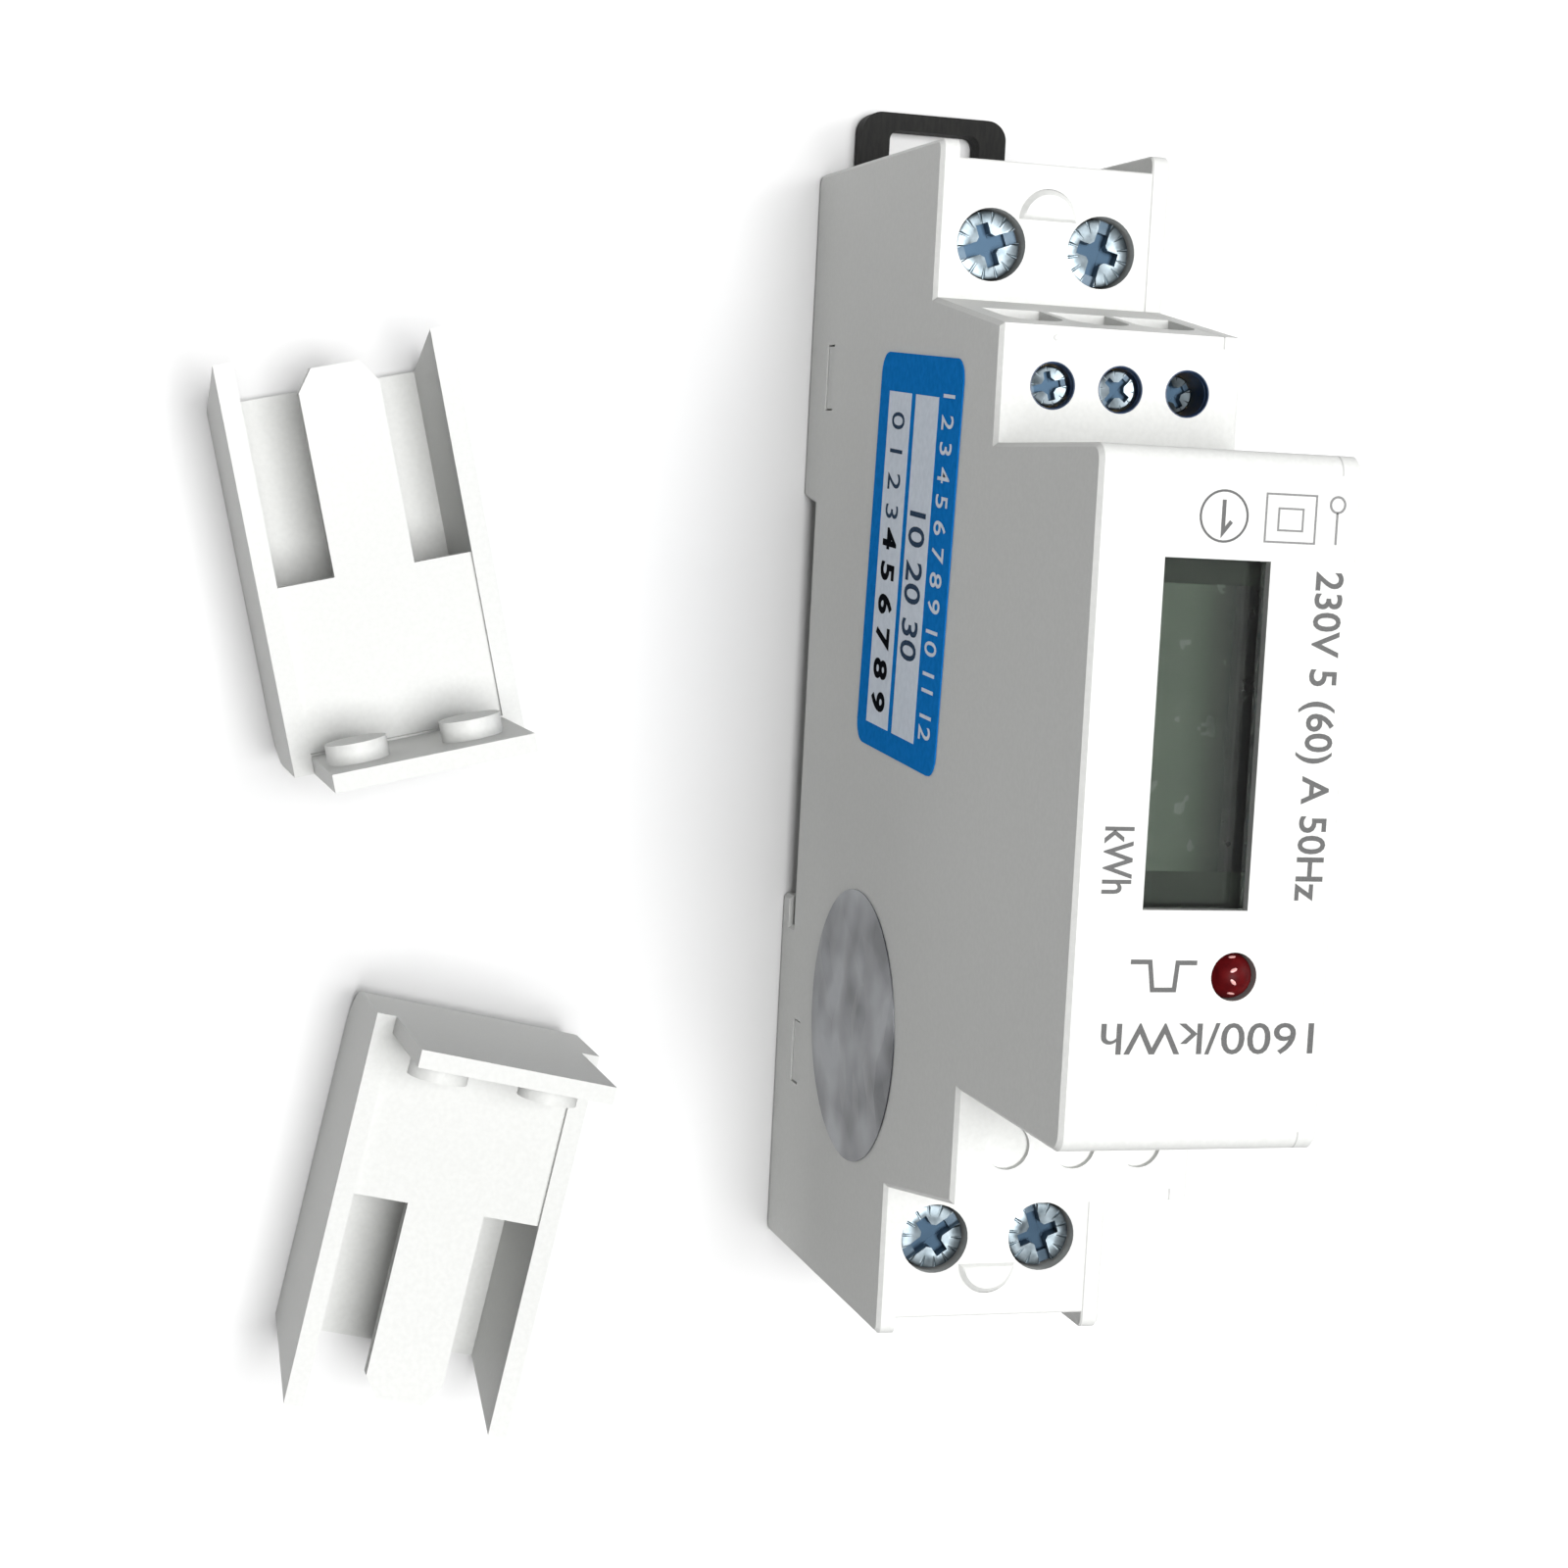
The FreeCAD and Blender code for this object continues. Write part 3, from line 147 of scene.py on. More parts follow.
def finish(name, dark, light, grain, rough, bump, metallic=0.0, stretch=(1, 1, 1), shine=0.5):
    """A finish whose colour, gloss and surface drift over grains of one size, in millimetres."""
    material = bpy.data.materials.new(name)
    material.use_nodes = True
    tree = material.node_tree
    shader = tree.nodes["Principled BSDF"]
    shader.inputs["Metallic"].default_value = metallic
    shader.inputs["Specular IOR Level"].default_value = shine
    place = tree.nodes.new("ShaderNodeTexCoord")
    sizing = tree.nodes.new("ShaderNodeMapping")
    sizing.inputs["Scale"].default_value = [axis / (grain * MM) for axis in stretch]
    noise = tree.nodes.new("ShaderNodeTexNoise")
    noise.inputs["Scale"].default_value = 1.0
    noise.inputs["Detail"].default_value = NOISE_DETAIL
    colours = tree.nodes.new("ShaderNodeValToRGB")
    for stop, position, colour in zip(colours.color_ramp.elements, COLOUR_SPAN, (dark, light)):
        stop.position = position
        stop.color = (*colour, 1.0)
    gloss = tree.nodes.new("ShaderNodeMapRange")
    gloss.inputs["From Min"].default_value = GLOSS_SPAN[0]
    gloss.inputs["From Max"].default_value = GLOSS_SPAN[1]
    gloss.inputs["To Min"].default_value = rough[0]
    gloss.inputs["To Max"].default_value = rough[1]
    tree.links.new(place.outputs["Object"], sizing.inputs["Vector"])
    tree.links.new(sizing.outputs["Vector"], noise.inputs["Vector"])
    tree.links.new(noise.outputs["Fac"], colours.inputs["Fac"])
    tree.links.new(noise.outputs["Fac"], gloss.inputs["Value"])
    tree.links.new(colours.outputs["Color"], shader.inputs["Base Color"])
    tree.links.new(gloss.outputs["Result"], shader.inputs["Roughness"])
    if bump:
        relief = tree.nodes.new("ShaderNodeBump")
        relief.inputs["Strength"].default_value = bump[0]
        relief.inputs["Distance"].default_value = bump[1] * MM
        tree.links.new(noise.outputs["Fac"], relief.inputs["Height"])
        tree.links.new(relief.outputs["Normal"], shader.inputs["Normal"])
    return material


def paint(material, *names):
    """Gives carried-over CAD nodes their finish."""
    for name in names:
        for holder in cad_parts[name].material_slots:
            holder.material = material


def fade(material, axis, whole, gone, tint):
    """Lets a finish turn to a tint between two places, in millimetres, along one axis."""
    tree = material.node_tree
    colour = tree.nodes["Principled BSDF"].inputs["Base Color"]
    finish_colour = colour.links[0].from_socket
    place = tree.nodes.new("ShaderNodeTexCoord")
    split = tree.nodes.new("ShaderNodeSeparateXYZ")
    spread = tree.nodes.new("ShaderNodeMapRange")
    spread.inputs["From Min"].default_value = gone * MM
    spread.inputs["From Max"].default_value = whole * MM
    blend = tree.nodes.new("ShaderNodeMix")
    blend.data_type = "RGBA"
    blend.inputs["A"].default_value = (*tint, 1.0)
    tree.links.new(place.outputs["Object"], split.inputs["Vector"])
    tree.links.new(split.outputs[axis], spread.inputs["Value"])
    tree.links.new(spread.outputs["Result"], blend.inputs["Factor"])
    tree.links.new(finish_colour, blend.inputs["B"])
    tree.links.new(blend.outputs["Result"], colour)


def break_edges(radius, *names):
    """Rounds the sharp edges of carried-over CAD nodes by a small mould radius."""
    for name in names:
        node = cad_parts[name]
        flatten = node.modifiers.new("flat_faces", "DECIMATE")
        flatten.decimate_type = "DISSOLVE"
        flatten.angle_limit = FLAT_ANGLE
        rounding = node.modifiers.new("mould_radius", "BEVEL")
        rounding.width = radius * MM
        rounding.segments = 2
        rounding.limit_method = "ANGLE"
        rounding.angle_limit = EDGE_ANGLE
        rounding.use_clamp_overlap = True


white = finish("white_moulding", WHITE_DIM, WHITE_BRIGHT, 0.35, WHITE_ROUGH, WHITE_RELIEF, shine=WHITE_SHINE)
paint(white, "housing", "side_cover")
break_edges(MOULD_RADIUS, "housing", "side_cover")

# Ejector marks.
# Tiny pips that the mould leaves on the step and the shelf, in the housing's own plastic.
PIP_R = 0.22
PIP_H = 0.09
PIP_SINK = 0.05
PIP_SIDES = 20
TURNED_ANGLE = math.radians(35)
PIP_PLACES = ((-4.91, 29.86, 45.6), (0.26, -33.39, 31.0))


def piece(name, mesh, material, body):
    """Links a new piece with its finish and lets it ride on a body."""
    obj = bpy.data.objects.new(name, mesh)
    bpy.context.scene.collection.objects.link(obj)
    mesh.materials.append(material)
    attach(obj, body)
    return obj


def lathe(name, profile, sides, place=(0, 0, 0)):
    """A closed turned shape on an upright axis, from (radius, height) points in millimetres."""
    shape = bmesh.new()
    rings = []
    angles = [2 * math.pi * k / sides for k in range(sides)]
    for radius, height in profile:
        if radius == 0:
            rings.append([shape.verts.new((0, 0, height))])
            continue
        points = [(radius * math.cos(a), radius * math.sin(a), height) for a in angles]
        rings.append([shape.verts.new(point) for point in points])
    for low, high in zip(rings, rings[1:]):
        for k in range(sides):
            nxt = (k + 1) % sides
            corners = [low[k % len(low)], low[nxt % len(low)], high[nxt % len(high)], high[k % len(high)]]
            unique = list(dict.fromkeys(corners))
            if len(unique) > 2:
                shape.faces.new(unique)
    bmesh.ops.transform(shape, matrix=Matrix.Translation(Vector(place)), verts=shape.verts)
    bmesh.ops.scale(shape, vec=(MM, MM, MM), verts=shape.verts)
    bmesh.ops.recalc_face_normals(shape, faces=shape.faces)
    mesh = bpy.data.meshes.new(name)
    shape.to_mesh(mesh)
    shape.free()
    mesh.shade_smooth()
    mesh.set_sharp_from_angle(angle=TURNED_ANGLE)
    return mesh


for number, place in enumerate(PIP_PLACES, 1):
    pip = [(0, -PIP_SINK), (PIP_R, -PIP_SINK), (PIP_R, PIP_H * 0.3), (PIP_R * 0.7, PIP_H * 0.8), (0, PIP_H)]
    mesh = lathe(f"ejector_pip_{number}", pip, PIP_SIDES, place)
    piece(f"ejector_pip_{number}", mesh, white, "meter")

# Snap lugs and welded seam.
# A half-moon lug stands between the screws at each end for the cover to snap over, and the seam
# between housing and side cover is welded flush on the front and on both steps.
LUG_R = (2.3, 1.9)
LUG_FLAT_Y = 39.08
LUG_DRAFT = 0.3
LUG_Z = (30.97, 31.38)
LUG_SOFT = 0.2
LUG_STEPS = 24
LUG_ANGLE = math.radians(40)
WELD_X = 7.54
WELD_HALF = 0.17
WELD_DEPTH = 0.16
WELD_SINK = 0.003
WELDS = (("front", (-21.2, 21.2), 65.0), ("top_step", (22.9, 29.8), 45.6),
         ("bottom_step", (-29.8, -22.9), 45.6))


def plate_mesh(name, outline, thick, soft, lay, lid_outline=None):
    """A plate of any outline, its upper edges softened, laid in place by a matrix in millimetres."""
    shape = bmesh.new()
    low = [shape.verts.new((a, b, 0.0)) for a, b in outline]
    top = [shape.verts.new((a, b, thick)) for a, b in lid_outline or outline]
    for k in range(len(outline)):
        shape.faces.new((low[k - 1], low[k], top[k], top[k - 1]))
    shape.faces.new(low)
    lid = shape.faces.new(top)
    if soft:
        edges = list(lid.edges)
        bmesh.ops.bevel(shape, geom=edges, offset=soft, segments=3, profile=0.5, affect="EDGES")
    bmesh.ops.transform(shape, matrix=Matrix.Scale(MM, 4) @ lay, verts=shape.verts)
    bmesh.ops.recalc_face_normals(shape, faces=shape.faces)
    mesh = bpy.data.meshes.new(name)
    shape.to_mesh(mesh)
    shape.free()
    return mesh


def frame_at(origin, a, b, out):
    """A matrix that lays a plate's two directions and its thickness along three given ones."""
    turn = Matrix((a, b, out)).transposed().to_4x4()
    return Matrix.Translation(Vector(origin)) @ turn


def half_moon(radius, flat):
    """Outline of a half-disc whose flat side lies at a given distance from its centre."""
    start = math.asin(flat / radius)
    angles = [start + (math.pi - 2 * start) * k / LUG_STEPS for k in range(LUG_STEPS + 1)]
    return [(radius * math.cos(angle), radius * math.sin(angle)) for angle in angles]


screw_boxes = [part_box(f"top_{pole}_screw") for pole in ("line", "neutral")]
lug_x = sum((low.x + high.x) / 4 for low, high in screw_boxes) / MM
for end, side in (("top", 1), ("bottom", -1)):
    lay = frame_at((lug_x, side * LUG_FLAT_Y, LUG_Z[0]), (1, 0, 0), (0, side, 0), (0, 0, 1))
    foot = half_moon(LUG_R[0], 0)
    crown = half_moon(LUG_R[1], LUG_DRAFT)
    mesh = plate_mesh(f"snap_lug_{end}", foot, LUG_Z[1] - LUG_Z[0], LUG_SOFT, lay, crown)
    mesh.shade_smooth()
    mesh.set_sharp_from_angle(angle=LUG_ANGLE)
    piece(f"snap_lug_{end}", mesh, white, "meter")
for where, (start, end), height in WELDS:
    bead = [(-WELD_HALF, 0), (WELD_HALF, 0), (0, -WELD_DEPTH)]
    lay = frame_at((WELD_X, start, height - WELD_SINK), (1, 0, 0), (0, 0, 1), (0, 1, 0))
    mesh = plate_mesh(f"weld_{where}", bead, end - start, 0, lay)
    piece(f"weld_{where}", mesh, white, "meter")

# Rail clip and its spring.
# The slider is black glass-filled nylon, matt with a faint flow grain along its length; the spring is a folded
# strip of bright steel, one fixed piece that rides on the meter.
BLACK_DIM = (0.007, 0.007, 0.007)
BLACK_BRIGHT = (0.015, 0.015, 0.014)
STEEL_DIM = (0.45, 0.46, 0.48)
STEEL_BRIGHT = (0.62, 0.63, 0.65)
CLIP_RADIUS = 0.15
black = finish("black_nylon", BLACK_DIM, BLACK_BRIGHT, 0.25, (0.55, 0.7), (0.3, 0.02),
               stretch=(1, 0.2, 1), shine=0.12)
paint(black, "rail_clip")
break_edges(CLIP_RADIUS, "rail_clip")
spring_strip = finish("spring_strip", STEEL_DIM, STEEL_BRIGHT, 0.1, (0.2, 0.35), (0.1, 0.004), 1.0,
                      (1, 1, 0.1))
spring_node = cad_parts["clip_spring"]
spring_mesh = spring_node.data.copy()
spring_mesh.materials.clear()
spring_mesh.transform(spring_node.matrix_world)
spring = piece("leaf_spring", spring_mesh, spring_strip, "meter")
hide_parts("clip_spring")
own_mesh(spring)

# Terminal screws.
# Zinc-plated steel with a combination recess, and a ring of cold-formed teeth round the top of
# each head that bites when the screw is driven home.
ZINC_DIM = (0.1, 0.125, 0.14)
ZINC_BRIGHT = (0.22, 0.26, 0.285)
RECESS_SHADE_BLUE = (0.035, 0.06, 0.09)
HEAD_TOP = 30.3
HEAD_H = 2.0
HEAD_R = 2.5
DISH = 0.14
SHANK_R = 2.04
SHANK_TIP = 18.0
THREAD_PITCH = 0.7
SLOT_W = 0.95
RECESS_DEPTH = 1.2
CROSS_ARM = 1.6
TOOTH_COUNT = 14
TOOTH_START = 0.62
TOOTH_W = 0.24
TOOTH_DEEP = 0.075
HEAD_RIM = 0.1
SLOT_DEEP = 0.6
CORE = (0.55, 0.54, 0.9)
CUT_NUDGE = 0.01
CUT_PAST = 0.5
GROOVE_PAST = 0.2
HEAD_SIDES = 72
HEAD_ANGLE = math.radians(30)
SCREW_TURNS = {"top_line": 20, "top_neutral": 75, "bottom_line": 35, "bottom_neutral": 110}


def prisms(name, blocks):
    """Cutting blocks in one mesh: each is the eight corners of a bar, in millimetres."""
    faces = ((0, 1, 2, 3), (7, 6, 5, 4), (0, 4, 5, 1), (1, 5, 6, 2), (2, 6, 7, 3), (3, 7, 4, 0))
    points = []
    sides = []
    for block in blocks:
        sides += [[len(points) + k for k in face] for face in faces]
        points += [Vector(corner) * MM for corner in block]
    mesh = bpy.data.meshes.new(name)
    mesh.from_pydata(points, [], sides)
    shape = bmesh.new()
    shape.from_mesh(mesh)
    bmesh.ops.recalc_face_normals(shape, faces=shape.faces)
    shape.to_mesh(mesh)
    shape.free()
    return mesh


def bar_corners(turn, x, y, low, high):
    """Corners of a bar round the Z axis: x and y ranges, lower and upper heights, turned."""
    spin = Matrix.Rotation(turn, 3, "Z")
    corners = ((x[0], y[0]), (x[1], y[0]), (x[1], y[1]), (x[0], y[1]))
    return [spin @ Vector((px, py, z)) for z in (low, high) for px, py in corners]


def groove_corners(turn, reach, width, deep, top):
    """Corners of a V-shaped radial groove that deepens towards the rim of a screw head."""
    spin = Matrix.Rotation(turn, 3, "Z")
    sliver = width / 20
    inner, outer = reach
    half = width / 2
    points = []
    for x, low in ((inner, top - deep * 0.4), (outer, top - deep)):
        for side, z in ((-sliver, low), (sliver, low), (half, top + GROOVE_PAST), (-half, top + GROOVE_PAST)):
            points.append(spin @ Vector((x, side, z)))
    return points


def cut_mesh(name, solid, cutter):
    """The solid's mesh with the cutter's volume taken out."""
    whole = bpy.data.objects.new(name, solid)
    tool = bpy.data.objects.new(name + "_tool", cutter)
    for obj in (whole, tool):
        bpy.context.scene.collection.objects.link(obj)
    cut = whole.modifiers.new("cut", "BOOLEAN")
    cut.object = tool
    cut.solver = "EXACT"
    cut.use_self = True
    bpy.context.view_layer.update()
    depsgraph = bpy.context.evaluated_depsgraph_get()
    result = bpy.data.meshes.new_from_object(whole.evaluated_get(depsgraph))
    result.name = name
    for obj in (whole, tool):
        bpy.data.objects.remove(obj)
    return result


def screw_mesh(name, head_r, head, shank, pitch, recess, teeth):
    """A cheese-head screw on the Z axis: dished head, threaded shank, slot, cross and teeth."""
    top, head_h = head
    shank_r, tip = shank
    slot_w, depth, arm = recess
    rim = head_r * HEAD_RIM
    low = top - head_h
    profile = [(0, tip), (shank_r * 0.8, tip), (shank_r, tip + shank_r * 0.2)]
    height = tip + shank_r * 0.2
    while height + pitch < low:
        profile += [(shank_r, height + pitch * 0.2), (shank_r - pitch * 0.4, height + pitch * 0.6),
                    (shank_r, height + pitch)]
        height += pitch
    profile += [(shank_r, low), (head_r - rim / 2, low), (head_r, low + rim / 2), (head_r, top - rim),
                (head_r - rim * 0.3, top - rim * 0.3), (head_r - rim, top), (head_r * 0.55, top - DISH / 2),
                (0, top - DISH)]
    half = slot_w / 2
    past = head_r + CUT_PAST
    over = top + CUT_PAST
    wide = half * (1 + 2 * CUT_NUDGE)
    narrow = half * (1 + CUT_NUDGE)
    cross_z = top - depth * (1 - 2 * CUT_NUDGE)
    core_x, core_y, core_deep = arm * CORE[0], arm * CORE[1], depth * CORE[2]
    blocks = [bar_corners(0, (-past, past), (-half, half), top - depth * SLOT_DEEP, over),
              bar_corners(0, (-arm, arm), (-wide, wide), top - depth, over),
              bar_corners(math.pi / 2, (-arm, arm), (-narrow, narrow), cross_z, over),
              bar_corners(math.pi / 4, (-core_x, core_x), (-core_y, core_y), top - core_deep, over)]
    for k in range(teeth):
        angle = 2 * math.pi * (k + 0.5) / teeth
        reach = (head_r * TOOTH_START, past)
        blocks.append(groove_corners(angle, reach, head_r * TOOTH_W, head_r * TOOTH_DEEP, top))
    mesh = cut_mesh(name, lathe(name, profile, HEAD_SIDES), prisms(name + "_cut", blocks))
    mesh.shade_smooth()
    mesh.set_sharp_from_angle(angle=HEAD_ANGLE)
    return mesh


def zinc_finish(name, top, depth, shade=1.0):
    """Zinc plate whose colour deepens to a dark blue towards the floor of the recess: painted shade in the
    recess, partly the blue of the passivation.
    """
    # shade scales the whole colour down: painted shade for a screw that sits deep in its well.
    dark, light = ([value * shade for value in colour] for colour in (ZINC_DIM, ZINC_BRIGHT))
    material = finish(name, dark, light, 1.2, (0.32, 0.42), (0.06, 0.01), 1.0)
    fade(material, "Z", top - depth * 0.1, top - depth * 0.8, RECESS_SHADE_BLUE)
    return material


zinc = zinc_finish("zinc_plate", HEAD_TOP, RECESS_DEPTH)
terminal_screw = screw_mesh("terminal_screw", HEAD_R, (HEAD_TOP, HEAD_H), (SHANK_R, SHANK_TIP),
                            THREAD_PITCH, (SLOT_W, RECESS_DEPTH, CROSS_ARM), TOOTH_COUNT)
for terminal, degrees in SCREW_TURNS.items():
    low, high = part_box(f"{terminal}_screw")
    middle = (low + high) / 2
    mesh = terminal_screw.copy()
    spin = Matrix.Rotation(math.radians(degrees), 4, "Z")
    mesh.transform(Matrix.Translation((middle.x, middle.y, 0)) @ spin)
    screw = piece(f"{terminal}_screw_turned", mesh, zinc, f"{terminal}_screw")
    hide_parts(f"{terminal}_screw")

# Rising cages and bars.
# The cages are pressed and tapped from plated steel; the bars are tinned brass strip, and the
# shunt between the two line bars is bare copper-manganese alloy.
ROLLED = (1, 0.15, 1)
cage_plate = finish("cage_plate", (0.5, 0.51, 0.5), (0.7, 0.7, 0.68), 0.4, (0.28, 0.42), (0.2, 0.01), 1.0)
tin = finish("tinned_strip", (0.56, 0.55, 0.5), (0.74, 0.72, 0.66), 0.3, (0.3, 0.45), (0.2, 0.01), 1.0,
             ROLLED)
shunt_alloy = finish("shunt_alloy", (0.5, 0.33, 0.22), (0.68, 0.48, 0.34), 0.3, (0.25, 0.4), (0.2, 0.01), 1.0,
                     ROLLED)
paint(cage_plate, *[f"{end}_{pole}_cage" for end in ("top", "bottom") for pole in ("line", "neutral")])
paint(tin, "line_bar_top", "line_bar_bottom", "neutral_bar")
paint(shunt_alloy, "shunt")

# Pulse terminals.
# Three small cross-head screws in brass pillars, held by a dark blue block whose collars line
# the wells right up to the face of the step.
NAVY_DIM = (0.004, 0.02, 0.06)
NAVY_BRIGHT = (0.008, 0.035, 0.1)
STEP_Z = 45.6
COLLAR = (1.64, 1.53)
COLLAR_DEPTH = 3.4
COLLAR_STEP = (0.07, 0.45)
COLLAR_SOFT = 0.03
COLLAR_LOW = 0.01
TURNED_SIDES = 48
PULSE_HEAD = (45.0, 1.2)
PULSE_HEAD_R = 1.36
PULSE_RECESS = (0.5, 0.8, 1.0)
PULSE_SHANK = (1.0, 40.3)
PULSE_PITCH = 0.4
PULSE_TEETH = 10
# The last column darkens each screw's zinc: painted shade, deepest for the third screw that sits low in its
# well.
PULSE_SCREWS = ((15, 0.0, 0.95), (50, 0.0, 0.95), (30, 1.7, 0.15))
navy = finish("navy_moulding", NAVY_DIM, NAVY_BRIGHT, 0.3, (0.3, 0.42), (0.15, 0.01))
paint(navy, "pulse_block")
brass = finish("pillar_brass", (0.62, 0.45, 0.18), (0.8, 0.62, 0.3), 0.3, (0.22, 0.38), (0.15, 0.01), 1.0)
pulse_screw = screw_mesh("pulse_screw", PULSE_HEAD_R, PULSE_HEAD, PULSE_SHANK, PULSE_PITCH, PULSE_RECESS,
                         PULSE_TEETH)
for number, (degrees, sink, shade) in enumerate(PULSE_SCREWS, 1):
    paint(brass, f"pulse_pillar_{number}")
    paint(cage_plate, f"pulse_plate_{number}")
    low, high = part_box(f"pulse_screw_{number}")
    middle = (low + high) / 2
    mesh = pulse_screw.copy()
    spin = Matrix.Rotation(math.radians(degrees), 4, "Z")
    mesh.transform(Matrix.Translation((middle.x, middle.y, -sink * MM)) @ spin)
    small_zinc = zinc_finish(f"pulse_zinc_{number}", PULSE_HEAD[0] - sink, PULSE_RECESS[1], shade)
    body = f"pulse_screw_{number}"
    screw = piece(f"{body}_turned", mesh, small_zinc, body)
    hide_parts(body)
    outer, inner = COLLAR
    rise, drop = COLLAR_STEP
    collar = [(outer, -COLLAR_DEPTH), (outer, -COLLAR_SOFT), (outer - COLLAR_SOFT, -COLLAR_LOW),
              (inner + rise / 2, -COLLAR_LOW), (inner + rise / 2, -drop), (inner, -drop - 0.02),
              (inner, -COLLAR_DEPTH), (outer, -COLLAR_DEPTH)]
    place = (middle.x / MM, middle.y / MM, STEP_Z)
    mesh = lathe(f"well_collar_{number}", collar, TURNED_SIDES, place)
    piece(f"well_collar_{number}", mesh, navy, "meter")

# Display.
# A liquid crystal cell of two glasses, the upper one under a shorter polarising film, seen
# through a clear acrylic window that stands a little below the front.
GLASS_EDGE = 0.05
FILM_Y = (-4.5, 13.95)
FILM_T = 0.12
FILM_SINK = 0.02
FILM_MARGIN = 0.2
LEDGE_DROP = 1.3
UPPER_SETBACK = (1.3, 1.2)
FILM_SHADE_START_X = -1.4
FILM_SHADE_FULL_X = 2.1


def slab_mesh(name, low, high, radius):
    """A block between two corners in millimetres with its edges broken."""
    shape = bmesh.new()
    bmesh.ops.create_cube(shape, size=1.0)
    for vertex in shape.verts:
        vertex.co = [low[k] if vertex.co[k] < 0 else high[k] for k in range(3)]
    edges = list(shape.edges)
    bmesh.ops.bevel(shape, geom=edges, offset=radius, segments=2, profile=0.5, affect="EDGES")
    bmesh.ops.scale(shape, vec=(MM, MM, MM), verts=shape.verts)
    mesh = bpy.data.meshes.new(name)
    shape.to_mesh(mesh)
    shape.free()
    return mesh


cell_low, cell_high = (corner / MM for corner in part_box("display_panel"))
ledge = cell_high.z - LEDGE_DROP
film_z = (cell_high.z - FILM_T - FILM_SINK, cell_high.z - FILM_SINK)
cell_glass = finish("cell_glass", (0.024, 0.03, 0.023), (0.03, 0.036, 0.028), 2.0, (0.14, 0.18), None)
film_grey = finish("polarising_film", (0.066, 0.084, 0.063), (0.073, 0.091, 0.069), 1.5, (0.24, 0.28),
                   None)
# Painted shade: the film's colour fades to near black towards its +X end.
fade(film_grey, "X", FILM_SHADE_START_X, FILM_SHADE_FULL_X, (0.004, 0.005, 0.004))
mesh = slab_mesh("lower_glass", cell_low, (cell_high.x, cell_high.y, ledge), GLASS_EDGE)
lower_glass = piece("lower_glass", mesh, cell_glass, "meter")
upper_low = (cell_low.x, cell_low.y + UPPER_SETBACK[0], ledge)
upper_high = (cell_high.x, cell_high.y - UPPER_SETBACK[1], film_z[0])
mesh = slab_mesh("upper_glass", upper_low, upper_high, GLASS_EDGE)
piece("upper_glass", mesh, cell_glass, "meter")
film_low = (cell_low.x + FILM_MARGIN, FILM_Y[0], film_z[0])
film_high = (cell_high.x - FILM_MARGIN, FILM_Y[1], film_z[1])
mesh = slab_mesh("polarising_film", film_low, film_high, GLASS_EDGE / 2)
piece("polarising_film", mesh, film_grey, "meter")
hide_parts("display_panel")

acrylic = finish("acrylic_window", (0.86, 0.9, 0.87), (0.9, 0.94, 0.91), 3.0, (0.06, 0.07), None)
acrylic_shader = acrylic.node_tree.nodes["Principled BSDF"]
acrylic_shader.inputs["Transmission Weight"].default_value = 1.0
acrylic_shader.inputs["IOR"].default_value = 1.49
paint(acrylic, "display_window")
pale = finish("pale_frame", (0.62, 0.63, 0.61), (0.7, 0.71, 0.69), 0.5, (0.5, 0.6), (0.1, 0.01))
paint(pale, "display_frame")

# Pulse lamp.
# A red epoxy dome cast round a cup and its leads, with a short row of pale pink spots near its surface that
# are painted highlights.
LAMP_CENTRE = (2.3, -11.0)
LAMP_R = 1.53
LAMP_DOME_Z = 64.0
LAMP_FLANGE = (1.9, 58.2, 59.2)
LAMP_SOFT = 0.05
LAMP_SIDES = 64
DOME_STEPS = 16
GLINT_ANGLES = (56, 18, -11, -45)
GLINT_LEAN = Vector((-0.16, 0.02, 0.99))
GLINT_R = 0.25
GLINT_NARROW = 0.45
GLINT_SIDES = 20
red_epoxy = finish("red_epoxy", (0.05, 0.002, 0.003), (0.085, 0.003, 0.004), 0.8, (0.42, 0.5), (0.03, 0.01),
                   shine=0.06)
flange_r, base_z, flange_z = LAMP_FLANGE
dome = [(0, base_z), (flange_r - LAMP_SOFT, base_z), (flange_r, base_z + LAMP_SOFT),
        (flange_r, flange_z - LAMP_SOFT), (flange_r - LAMP_SOFT, flange_z), (LAMP_R, flange_z)]
for k in range(DOME_STEPS):
    angle = math.pi / 2 * k / DOME_STEPS
    dome.append((LAMP_R * math.cos(angle), LAMP_DOME_Z + LAMP_R * math.sin(angle)))
dome.append((0, LAMP_DOME_Z + LAMP_R))
lamp_mesh = lathe("lamp_dome", dome, LAMP_SIDES, (*LAMP_CENTRE, 0))
lamp_dome = piece("lamp_dome", lamp_mesh, red_epoxy, "meter")
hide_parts("pulse_lamp")

# Painted highlights: small pale pink spots just under the dome's surface, in a row on the side that faces the
# camera.
glint = finish("painted_glint", (0.5, 0.24, 0.23), (0.66, 0.36, 0.34), 0.1, (0.3, 0.4), (0.05, 0.005))
for number, degrees in enumerate(GLINT_ANGLES, 1):
    tilt = math.radians(degrees)
    spot = [(0, -0.05), (GLINT_R * 0.9, -0.04), (GLINT_R, 0.0), (GLINT_R * 0.6, 0.02), (0, 0.03)]
    mesh = lathe(f"painted_glint_{number}", spot, GLINT_SIDES)
    out = (GLINT_LEAN * math.cos(tilt) + Vector((0, math.sin(tilt), 0))).normalized()
    tip = (Vector((*LAMP_CENTRE, LAMP_DOME_Z)) + out * LAMP_R) * MM
    turn = out.to_track_quat("Z", "Y").to_matrix().to_4x4()
    mesh.transform(Matrix.Translation(tip) @ turn @ Matrix.Diagonal((1.0, GLINT_NARROW, 1.0, 1.0)))
    piece(f"painted_glint_{number}", mesh, glint, "meter")

